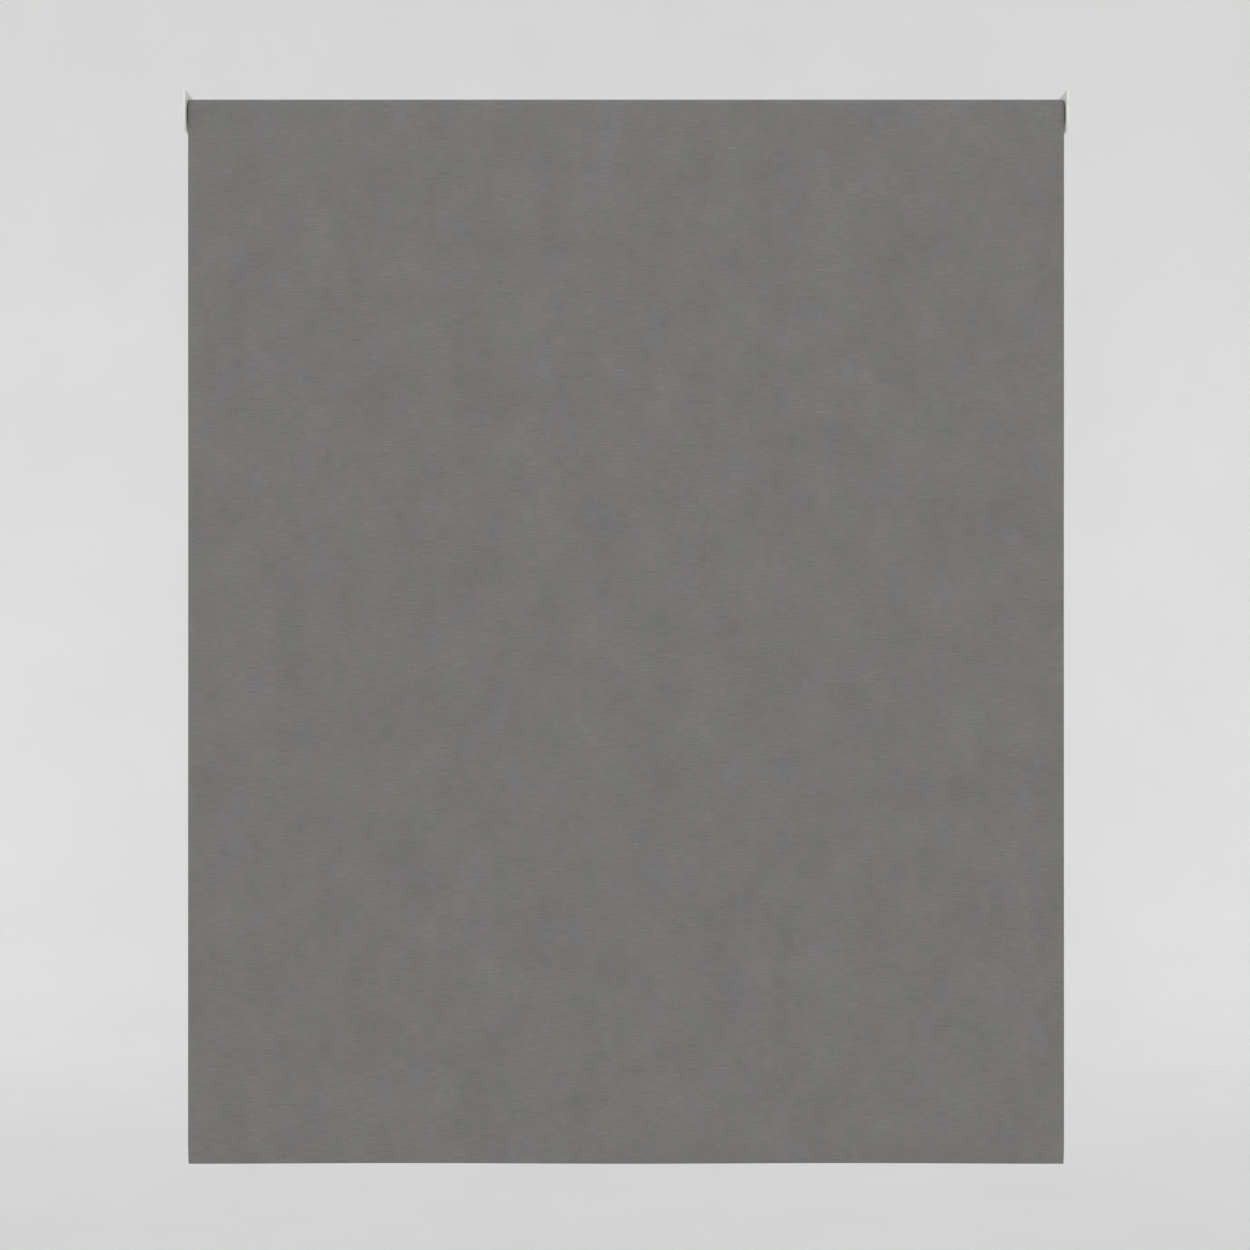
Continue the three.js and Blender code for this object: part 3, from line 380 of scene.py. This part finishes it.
def thick_sheet(name, grid, flat_down, face_material, back_material):
    """A closed sheet round a middle surface. grid is rows down the cloth by columns across it,
    and flat_down is each row's place down the flat cloth."""
    rows, columns = grid.shape[:2]
    offset = grid_normals(grid) * CLOTH / 2
    points = np.concatenate([(grid + offset).reshape(-1, 3), (grid - offset).reshape(-1, 3)])
    index = np.arange(rows * columns).reshape(rows, columns)
    a, b, c, d = index[:-1, :-1], index[:-1, 1:], index[1:, 1:], index[1:, :-1]
    front = np.stack([a, d, c, b], axis=-1).reshape(-1, 4)
    back = front[:, ::-1] + rows * columns
    rim = np.concatenate([index[0, ::-1], index[1:, 0], index[-1, 1:], index[-2:0:-1, -1]])
    ahead = np.roll(rim, -1)
    sides = np.stack([rim, rim + rows * columns, ahead + rows * columns, ahead], axis=-1)
    faces = np.concatenate([front, back, sides])
    piece = new_piece(name, points, faces, [face_material, back_material])
    piece.data.polygons.foreach_set(
        "material_index", [0] * len(front) + [1] * len(back) + [0] * len(sides))
    flat = np.zeros((2, rows, columns, 3))
    flat[..., 0] = grid[:, :, 0]
    flat[..., 2] = np.asarray(flat_down)[:, None]
    attribute = piece.data.attributes.new("flat_pattern", "FLOAT_VECTOR", "POINT")
    attribute.data.foreach_set("vector", flat.reshape(-1))
    return piece


def swept(profile, xs):
    """A grid whose rows are the profile's (y, z) points, at each x across the cloth."""
    grid = np.zeros((len(profile), len(xs), 3))
    grid[..., 0] = np.asarray(xs)[None, :]
    grid[..., 1:] = np.asarray(profile)[:, None, :]
    return grid


def lengths_down(profile):
    """How far along the profile each of its points is."""
    steps = np.linalg.norm(np.diff(np.asarray(profile), axis=0), axis=1)
    return np.concatenate([[0.0], np.cumsum(steps)])


print("sheets are", round(CLOTH / MM, 3), "mm thick, half of it to each side")

# %% [markdown]
# ## The hanging drop
#
# The cloth hangs plumb from the front of the roller. It is held flat along the roller and the hem
# bar and is free between them, where it stands in a few shallow waves, and its sides curl back a
# little.

# %% Drop
DROP_ROWS, DROP_COLUMNS = 170, 150
WAVES = ((0.275, 0.83, 1.7, 0.4), (0.175, 1.9, 0.8, 2.1), (0.11, 3.1, 2.6, 4.0))
CURL_DEPTH, CURL_REACH = 0.9, 16.0  # mm


def waves_at(x, z):
    """How far the free cloth stands behind the plumb plane, in metres. Each wave has a height in
    mm, its turns across and down the cloth, and a start angle."""
    across = (x + HALF_WIDTH) / (2 * HALF_WIDTH)
    down = (LEAVE_Z - z) / (LEAVE_Z - HEM_TOP)
    free = np.sin(np.pi * np.clip(down, 0, 1)) ** 2
    height = sum(
        size * np.sin(2 * np.pi * (turns_x * across + turns_z * down) + start)
        for size, turns_x, turns_z, start in WAVES)
    curl = CURL_DEPTH * np.exp(-(HALF_WIDTH - np.abs(x)) / (CURL_REACH * MM))
    return free * (curl - height) * MM


def drop_sheet():
    xs = np.linspace(-HALF_WIDTH, HALF_WIDTH, DROP_COLUMNS)
    zs = np.linspace(LEAVE_Z, HEM_TOP, DROP_ROWS)
    grid = swept([(MIDDLE, z) for z in zs], xs)
    grid[..., 1] += waves_at(grid[..., 0], grid[..., 2])
    return thick_sheet("cloth_drop", grid, zs, cloth_hanging, coating_hanging)


drop = drop_sheet()
print("drop", len(drop.data.polygons), "faces, height", round(LEAVE_Z - HEM_TOP, 4), "m")

# %% [markdown]
# ## The roll
#
# A turn and a half of cloth stays on the tube. The spiral starts over the tube's channel at the
# back and grows by one thickness and a little air each turn, until it leaves the roller at the
# front.

# %% Roll
WRAP_TURNS = 1.5
WRAP_PITCH = 0.45 * MM  # from one turn to the next
ROLL_STEPS = 96  # to a turn
ROLL_COLUMNS = 25


def roll_sheet():
    turns_back = np.arange(int(WRAP_TURNS * ROLL_STEPS) + 1)[::-1] / ROLL_STEPS
    radius = LEAVING_R - WRAP_PITCH * turns_back
    angle = np.pi - 2 * np.pi * turns_back
    profile = np.stack([AXIS_Y + radius * np.cos(angle), AXIS_Z + radius * np.sin(angle)], axis=1)
    down = lengths_down(profile)
    xs = np.linspace(-HALF_WIDTH, HALF_WIDTH, ROLL_COLUMNS)
    flat_down = LEAVE_Z + down[-1] - down
    sheet = thick_sheet("cloth_roll", swept(profile, xs), flat_down, cloth_curved, coating_curved)
    return sheet, down[-1]


roll, ROLL_LENGTH = roll_sheet()
print(f"roll holds {ROLL_LENGTH:.3f} m of cloth")

# %% [markdown]
# ## The hem
#
# The cloth runs down the bar's front, which sweeps back towards a rounded toe, turns up behind the
# bar and closes on the front layer, where a welded band holds it. It hangs a hair lower at both
# sides and in the middle, where the pocket isn't pulled up by the bar.

# %% Hem profile
SWEEP_R = 110 * MM  # front of the hem bar
TOE_R = 1.8 * MM  # its bottom edge
SEAT = 0.3 * MM  # between the bar and the cloth
TAPER = 6 * MM  # height over which the back layer closes on the front one
LAYER_GAP = 0.02 * MM  # between the two layers of the welded band
HEM_POINTS = {"front": 10, "sweep": 26, "toe": 16, "back": 14, "taper": 8, "band": 5}


def arc(centre, radius, start, end, count):
    angles = np.linspace(start, end, count)
    return [(centre[0] + radius * math.cos(a), centre[1] + radius * math.sin(a)) for a in angles]


def line(first, last, count):
    return [tuple(p) for p in np.linspace(first, last, count)]


def hem_profile():
    """The pocket's middle line as (y, z), from the weld's top, round the bar and back up to it."""
    grow = SEAT + CLOTH / 2
    reach = SWEEP_R - TOE_R
    angle = math.acos((SWEEP_R - (bar_high.y - bar_low.y) + TOE_R) / reach)
    sweep_top = bar_high.z - TOE_R
    centre = (bar_low.y + SWEEP_R, sweep_top)
    toe = (bar_high.y - TOE_R, bar_low.z + TOE_R)
    back = bar_high.y + grow
    taper_low = bar_high.z + SEAT
    behind = MIDDLE + CLOTH + LAYER_GAP
    count = HEM_POINTS
    points = line((MIDDLE, HEM_TOP), (MIDDLE, sweep_top), count["front"])
    points += arc(centre, SWEEP_R + grow, math.pi, math.pi + angle, count["sweep"])[1:]
    points += arc(toe, TOE_R + grow, math.pi + angle, 2 * math.pi, count["toe"])[1:]
    points += line((back, toe[1]), (back, taper_low - TOE_R), count["back"])[1:]
    points += line((back - SEAT, taper_low), (behind + SEAT, taper_low + TAPER - TOE_R),
                   count["taper"])
    points += line((behind, taper_low + TAPER), (behind, HEM_TOP), count["band"])
    return points


print("hem profile has", len(hem_profile()), "points")

# %% Hem
SAG = 0.9 * MM
SAG_PERIOD = 0.6  # m from one low place to the next
SAG_REACH = 8 * MM  # how far up from the bar's lower edge the cloth gives
HEM_COLUMNS = 121


def hem_sheet():
    profile = hem_profile()
    xs = np.linspace(-HALF_WIDTH, HALF_WIDTH, HEM_COLUMNS)
    grid = swept(profile, xs)
    low = np.clip((bar_low.z + SAG_REACH - grid[..., 2]) / SAG_REACH, 0, 1)
    sag = SAG * (1 + np.cos(2 * np.pi * grid[..., 0] / SAG_PERIOD)) / 2
    grid[..., 2] -= sag * low
    down = lengths_down(profile)
    sheet = thick_sheet("cloth_hem", grid, HEM_TOP - down, cloth_curved, coating_curved)
    return sheet, down[-1]


hem, HEM_LENGTH = hem_sheet()
print(f"hem pocket takes {HEM_LENGTH:.4f} m of cloth")

# %% [markdown]
# ## Motion of the cloth
#
# In the blind the drop shortens towards the roller's front as the blind rises, so that its lower
# edge follows the hem. Here the drop is fixed to the frame's root; the roll turns with the tube and
# the hem rides on the bar. `hang` is called once the slubs are made, for them and the drop.


def hang(piece):
    """The piece is fixed to the frame's root and gets a mesh of its own."""
    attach(piece, "root")
    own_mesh(piece)


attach(roll, "roller")
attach(hem, "hem")
for piece, node in ((drop, "fabric_drop"), (roll, "fabric_roll"), (hem, "fabric_hem")):
    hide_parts(node)

# %% [markdown]
# ## Slubs
#
# The weft's thick places stand a hair proud of the cloth, as short level ribs that took the dye a
# little darker. Geometry nodes scatter them over the front of the drop. The first cell holds what
# every such tree needs: its named inputs, its last nodes, and a run that keeps only the mesh.

# %% Geometry node helpers
def new_tree(name, inputs):
    """An empty geometry tree with its named inputs. Returns the tree and its input sockets."""
    tree = bpy.data.node_groups.new(name, "GeometryNodeTree")
    for label, kind in inputs:
        tree.interface.new_socket(label, in_out="INPUT", socket_type=kind)
    tree.interface.new_socket("Geometry", in_out="OUTPUT", socket_type="NodeSocketGeometry")
    return tree, add(tree, "NodeGroupInput", out=None)


def finish_tree(tree, instances, material):
    """Makes the instances real, shades them smooth and gives them their material."""
    solid = add(tree, "GeometryNodeRealizeInstances", [instances])
    smooth = add(tree, "GeometryNodeSetShadeSmooth", [solid])
    painted = add(tree, "GeometryNodeSetMaterial", {"Geometry": smooth, "Material": material})
    add(tree, "NodeGroupOutput", [painted], out=None)


def run_tree(name, tree, values):
    """Runs the tree once on a bare object with these input values, and keeps the finished mesh."""
    holder = new_piece(name + "_seed", [(0, 0, 0)], [], [])
    modifier = holder.modifiers.new("build", "NODES")
    modifier.node_group = tree
    for item in tree.interface.items_tree:
        if item.in_out == "INPUT" and item.name in values:
            modifier[item.identifier] = values[item.name]
    bpy.context.view_layer.update()
    mesh = bpy.data.meshes.new_from_object(
        holder.evaluated_get(bpy.context.evaluated_depsgraph_get()))
    bpy.data.objects.remove(holder)
    mesh.name = name
    piece = bpy.data.objects.new(name, mesh)
    bpy.context.scene.collection.objects.link(piece)
    return piece


print("trees end as real meshes")

# %% Slub ribs
SLUB_DENSITY = 900  # to a square metre
SLUB_SHORTEST = (8.0, 0.6, 0.09)  # mm: length, width and height
SLUB_LONGEST = (42.0, 1.2, 0.14)
SLUB_SEED = 7


def slub_tree():
    tree, given = new_tree("slubs", [
        ("Geometry", "NodeSocketGeometry"), ("Width", "NodeSocketFloat"),
        ("Height", "NodeSocketFloat"), ("Density", "NodeSocketFloat"), ("Seed", "NodeSocketInt"),
        ("Shortest", "NodeSocketVector"), ("Longest", "NodeSocketVector"),
        ("Material", "NodeSocketMaterial")])
    sheet = add(tree, "GeometryNodeMeshGrid", [given["Width"], given["Height"]])
    points = add(tree, "GeometryNodeDistributePointsOnFaces",
                 {"Mesh": sheet, "Density": given["Density"], "Seed": given["Seed"]})
    rib = add(tree, "GeometryNodeMeshUVSphere", {"Segments": 8, "Rings": 5, "Radius": 1.0})
    size = add(tree, "FunctionNodeRandomValue",
               {"Min": given["Shortest"], "Max": given["Longest"], "Seed": given["Seed"]},
               data_type="FLOAT_VECTOR")
    ribs = add(tree, "GeometryNodeInstanceOnPoints",
               {"Points": points, "Instance": rib, "Scale": size})
    finish_tree(tree, ribs, given["Material"])
    return tree


def slub_ribs():
    """Ribs scattered flat, then stood up against the cloth's front and bent to its waves."""
    margin = SLUB_LONGEST[0] * MM
    piece = run_tree("cloth_slubs", slub_tree(), {
        "Width": 2 * HALF_WIDTH - margin, "Height": LEAVE_Z - HEM_TOP - margin / 4,
        "Density": SLUB_DENSITY, "Seed": SLUB_SEED, "Material": slub_yarn,
        "Shortest": [size / 2 * MM for size in SLUB_SHORTEST],
        "Longest": [size / 2 * MM for size in SLUB_LONGEST]})
    flat = np.array([v.co for v in piece.data.vertices])
    z = (LEAVE_Z + HEM_TOP) / 2 + flat[:, 1]
    y = FRONT + waves_at(flat[:, 0], z) - flat[:, 2]
    piece.data.vertices.foreach_set("co", np.stack([flat[:, 0], y, z], axis=1).reshape(-1))
    piece.data.update()
    return piece


slubs = slub_ribs()
hang(drop)
hang(slubs)
print("slubs", len(slubs.data.polygons), "faces")

# %% [markdown]
# ## Weld
#
# An ultrasonic wheel joined the hem's back layer to its front layer along two rows of short
# dashes, which stand as small hard beads on the back.

# %% Weld dashes
DASH = (1.6, 0.24, 0.7)  # mm: length, depth and height
DASH_PITCH = 3.2  # mm
DASH_ROWS = (0.35, 0.65)  # share of the welded band's height


def weld_tree():
    tree, given = new_tree("weld", [
        ("Geometry", "NodeSocketGeometry"), ("Count", "NodeSocketInt"),
        ("Pitch", "NodeSocketFloat"), ("Row Gap", "NodeSocketFloat"),
        ("Dash", "NodeSocketVector"), ("Material", "NodeSocketMaterial")])
    step = add(tree, "ShaderNodeCombineXYZ", [given["Pitch"]])
    row = add(tree, "GeometryNodeMeshLine", {"Count": given["Count"], "Offset": step})
    shift = add(tree, "ShaderNodeCombineXYZ", {2: given["Row Gap"]})
    second = add(tree, "GeometryNodeTransform", {"Geometry": row, "Translation": shift})
    both = tree.nodes.new("GeometryNodeJoinGeometry")
    for points in (row, second):
        tree.links.new(points, both.inputs[0])
    dash = add(tree, "GeometryNodeMeshUVSphere", {"Segments": 8, "Rings": 5, "Radius": 0.5})
    dashes = add(tree, "GeometryNodeInstanceOnPoints",
                 {"Points": both.outputs[0], "Instance": dash, "Scale": given["Dash"]})
    finish_tree(tree, dashes, given["Material"])
    return tree


def weld_dashes():
    band_low = bar_high.z + SEAT + TAPER
    band = HEM_TOP - band_low
    count = math.floor((2 * HALF_WIDTH / MM - DASH_PITCH) / DASH_PITCH)
    piece = run_tree("hem_weld", weld_tree(), {
        "Count": count, "Pitch": DASH_PITCH * MM, "Dash": [size * MM for size in DASH],
        "Row Gap": (DASH_ROWS[1] - DASH_ROWS[0]) * band, "Material": slub_yarn})
    place = (-(count - 1) * DASH_PITCH / 2 * MM, FRONT + 2 * CLOTH + LAYER_GAP,
             band_low + DASH_ROWS[0] * band)
    moved = np.array([v.co for v in piece.data.vertices]) + place
    piece.data.vertices.foreach_set("co", moved.reshape(-1))
    piece.data.update()
    return piece


weld = weld_dashes()
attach(weld, "hem")
print("weld", len(weld.data.polygons), "faces")

# %% [markdown]
# ## Coil springs
#
# The lifting spring is close-wound round the fixed shaft inside the tube. The brake's wrap spring
# grips its drum. The idle pin's spring pushes the pin outwards; in the blind it shortens as the pin
# is pressed in. One tree sweeps a round wire along a helix for all three.

# %% Coil tree
WIRE_SIDES = 10


def coil_tree():
    tree, given = new_tree("coil", [
        ("Geometry", "NodeSocketGeometry"), ("Turns", "NodeSocketFloat"),
        ("Steps", "NodeSocketInt"), ("Radius", "NodeSocketFloat"),
        ("Length", "NodeSocketFloat"), ("Wire Radius", "NodeSocketFloat"),
        ("Material", "NodeSocketMaterial")])
    spiral = add(tree, "GeometryNodeCurveSpiral", {
        "Resolution": given["Steps"], "Rotations": given["Turns"],
        "Start Radius": given["Radius"], "End Radius": given["Radius"], "Height": given["Length"]})
    wire = add(tree, "GeometryNodeCurvePrimitiveCircle",
               {"Resolution": WIRE_SIDES, "Radius": given["Wire Radius"]})
    solid = add(tree, "GeometryNodeCurveToMesh",
                {"Curve": spiral, "Profile Curve": wire, "Fill Caps": True})
    turned = add(tree, "GeometryNodeTransform",
                 {"Geometry": solid, "Rotation": (0, math.pi / 2, 0)})
    finish_tree(tree, turned, given["Material"])
    return tree


COIL_TREE = coil_tree()
print("coils of", WIRE_SIDES, "sided wire")

# %% Springs
SPRING_STEPS = 28  # points to a turn


def coil_piece(name, start, along, length, turns, radius, wire, material, steps=SPRING_STEPS):
    """A coil from start, along the x axis or the y axis. wire is the wire's radius."""
    piece = run_tree(name, COIL_TREE, {
        "Turns": turns, "Steps": steps, "Radius": radius, "Length": length,
        "Wire Radius": wire, "Material": material})
    points = np.array([v.co for v in piece.data.vertices])
    if along == "y":
        points = points[:, [1, 0, 2]] * (-1, 1, 1)
    piece.data.vertices.foreach_set("co", (points + start).reshape(-1))
    piece.data.update()
    return piece


def spring_for(node, wire_mm, turns, body):
    """A spring of round wire in the space of the frame's coarse one."""
    low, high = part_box(node)
    wire = wire_mm / 2 * MM
    start = (low.x + wire, AXIS_Y, AXIS_Z)
    piece = coil_piece(node + "_wire", start, "x", high.x - low.x - 2 * wire, turns,
                       (high.z - low.z) / 2 - wire, wire, SLOT_MATERIALS["spring_steel"])
    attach(piece, body)
    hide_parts(node)
    return piece


lift_low, lift_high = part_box("lift_spring")
LIFT_WIRE = 1.6  # mm
LIFT_PITCH = 1.7  # mm, so that the turns nearly touch
lift_turns = math.floor(((lift_high.x - lift_low.x) / MM - LIFT_WIRE) / LIFT_PITCH)
BRAKE_WIRE, BRAKE_TURNS = 1.6, 6.5  # mm and turns
PIN_WIRE, PIN_TURNS = 1.0, 8.0  # mm and turns
lift_spring = spring_for("lift_spring", LIFT_WIRE, lift_turns, "root")
spring_for("brake_spring", BRAKE_WIRE, BRAKE_TURNS, "roller")
pin_spring = spring_for("pin_spring", PIN_WIRE, PIN_TURNS, "roller")
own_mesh(pin_spring)
print("lifting spring has", lift_turns, "turns,", len(lift_spring.data.polygons), "faces")

# %% [markdown]
# ## Screw threads
#
# The bracket screws have a rolled thread. At this size a helix of fine wire, laid half into the
# shank, gives its ridge with far fewer faces than a cut one, and the springs' tree can make it.

# %% Screw threads
THREAD_PITCH = 1.8  # mm
THREAD_WIRE = 0.28  # mm, its radius
THREAD_STEPS = 24  # points to a turn
SHANK_R = 1.9  # mm
SHANK_LENGTH = 25.0  # mm under the head
THREAD_START, THREAD_END = 6.0, 20.5  # mm under the head


def screw_thread(node):
    low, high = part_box(node)
    centre = (low + high) / 2
    under_head = high.y - SHANK_LENGTH * MM
    length = (THREAD_END - THREAD_START) * MM
    start = (centre.x, under_head + THREAD_START * MM, centre.z)
    piece = coil_piece(node + "_thread", start, "y", length, length / MM / THREAD_PITCH,
                       SHANK_R * MM, THREAD_WIRE * MM, SLOT_MATERIALS["steel"], THREAD_STEPS)
    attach(piece, "root")
    return piece


threads = [screw_thread(name) for name in sorted(NODES) if "_screw_" in name]
print(len(threads), "screw threads")

# %% [markdown]
# ## What the cloth is
#
# One length of cloth is cut for the blind. The three sheets are its parts on the roller, in the
# air and round the hem bar.

# %% [markdown]
# ## Studio
#
# A wide pale dish: a floor nearly a metre below the hem, as under a window, that curves up all
# round into a plain wall, so that every side has the same backdrop. A floor close under the hem
# would take light away from the lower cloth.

# %% Floor and backdrop
FLOOR_GAP = 0.9  # m, as are the dish's sizes
DISH_RADIUS = 9.0
DISH_CORNER = 2.4
DISH_HEIGHT = 7.3
DISH_STEPS = 96  # round it
FLOOR_RINGS = (0.5, 2.5, 4.5)  # m from the middle
CORNER_POINTS = 25
PAPER_CLOUD = 600  # mm


def paper_material():
    """Matt studio paper, very slightly cloudy."""
    material, tree, shader = start_material("studio_paper", 0.9)
    vector = add(tree, "ShaderNodeTexCoord", out="Object")
    tone = clouds(tree, vector, (PAPER_CLOUD,) * 3, 0.0, 1.0, 2.0)
    color = add(tree, "ShaderNodeMix", {0: tone, 6: linear("#eaeae9"), 7: linear("#ededec")},
                out=2, data_type="RGBA")
    tree.links.new(color, shader.inputs["Base Color"])
    shader.inputs["Specular IOR Level"].default_value = 0.1
    return material


def studio_dish():
    """The dish as rings of points about the middle of the floor, from there out and up."""
    floor = HEM_BOTTOM - FLOOR_GAP
    corner = (DISH_RADIUS - DISH_CORNER, floor + DISH_CORNER)
    profile = [(radius, floor) for radius in FLOOR_RINGS]
    profile += arc(corner, DISH_CORNER, -math.pi / 2, 0, CORNER_POINTS)
    profile.append((DISH_RADIUS, floor + DISH_HEIGHT))
    turns = [2 * math.pi * step / DISH_STEPS for step in range(DISH_STEPS)]
    points = [(0, 0, floor)]
    points += [(r * math.cos(t), r * math.sin(t), z) for r, z in profile for t in turns]
    faces = []
    for step in range(DISH_STEPS):
        ahead = (step + 1) % DISH_STEPS
        faces.append((0, 1 + step, 1 + ahead))
        for ring in range(len(profile) - 1):
            low, high = 1 + ring * DISH_STEPS, 1 + (ring + 1) * DISH_STEPS
            faces.append((low + step, high + step, high + ahead, low + ahead))
    return new_piece("studio_dish", points, faces, [paper_material()])


dish = studio_dish()
print("floor at", round(HEM_BOTTOM - FLOOR_GAP, 3))

# %% [markdown]
# ## Light
#
# The dish's open top lets in an even room light. The rest comes from a ring of large soft globes
# level with the upper part of the blind, most of it from the front. Globes leave no hard-edged
# patches on the curved wall, as flat panels do.

# %% Light
GLOBES = 8
GLOBE_RADIUS = 0.9
RING_RADIUS, RING_HEIGHT = 6.8, -0.3  # height from the bracket tops
GLOBE_WATTS = {"front": 103, "side": 28, "back": 24}


def quarter_of(turn):
    """Which quarter of the ring a globe hangs in. Turn 0 is on the right, along +X."""
    if abs(math.sin(turn)) < math.sin(math.pi / 4):
        return "side"
    return "front" if math.sin(turn) < 0 else "back"


for number in range(GLOBES):
    turn = 2 * math.pi * (number + 0.5) / GLOBES - math.pi / 2
    data = bpy.data.lights.new(f"globe_{number}", "POINT")
    data.shadow_soft_size = GLOBE_RADIUS
    data.energy = GLOBE_WATTS[quarter_of(turn)]
    light = bpy.data.objects.new(f"globe_{number}", data)
    light.location = (RING_RADIUS * math.cos(turn), RING_RADIUS * math.sin(turn), RING_HEIGHT)
    light.visible_camera = False
    bpy.context.scene.collection.objects.link(light)

ROOM_LIGHT = 0.84
room = bpy.data.worlds.new("studio_air")
room.use_nodes = True
background = room.node_tree.nodes["Background"]
background.inputs["Color"].default_value = linear("#f6f7f8")
background.inputs["Strength"].default_value = ROOM_LIGHT
bpy.context.scene.world = room
bpy.context.scene.view_settings.view_transform = "Standard"
print(GLOBES, "globes and an even room light")

# %% [markdown]
# ## Camera
#
# It looks straight at the blind from a little over two blind heights away, level with its middle.

# %% Camera
CAMERA_DISTANCE = 3.5  # m, to the hanging cloth
CAMERA_HEIGHT = -0.7314  # m, from the bracket tops
CAMERA_SIDE = -0.0014  # m, from the middle of the blind
SENSOR_WIDTH = 36  # mm
FOCAL_LENGTH = 73.58  # mm
camera_data = bpy.data.cameras.new("camera")
camera_data.sensor_width = SENSOR_WIDTH
camera_data.lens = FOCAL_LENGTH
camera_data.clip_start, camera_data.clip_end = 0.05, 50
camera = bpy.data.objects.new("camera", camera_data)
camera.location = (CAMERA_SIDE, FRONT - CAMERA_DISTANCE, CAMERA_HEIGHT)
camera.rotation_euler = (math.pi / 2, 0, 0)
bpy.context.scene.collection.objects.link(camera)
bpy.context.scene.camera = camera
print("camera at", [round(v, 3) for v in camera.location])
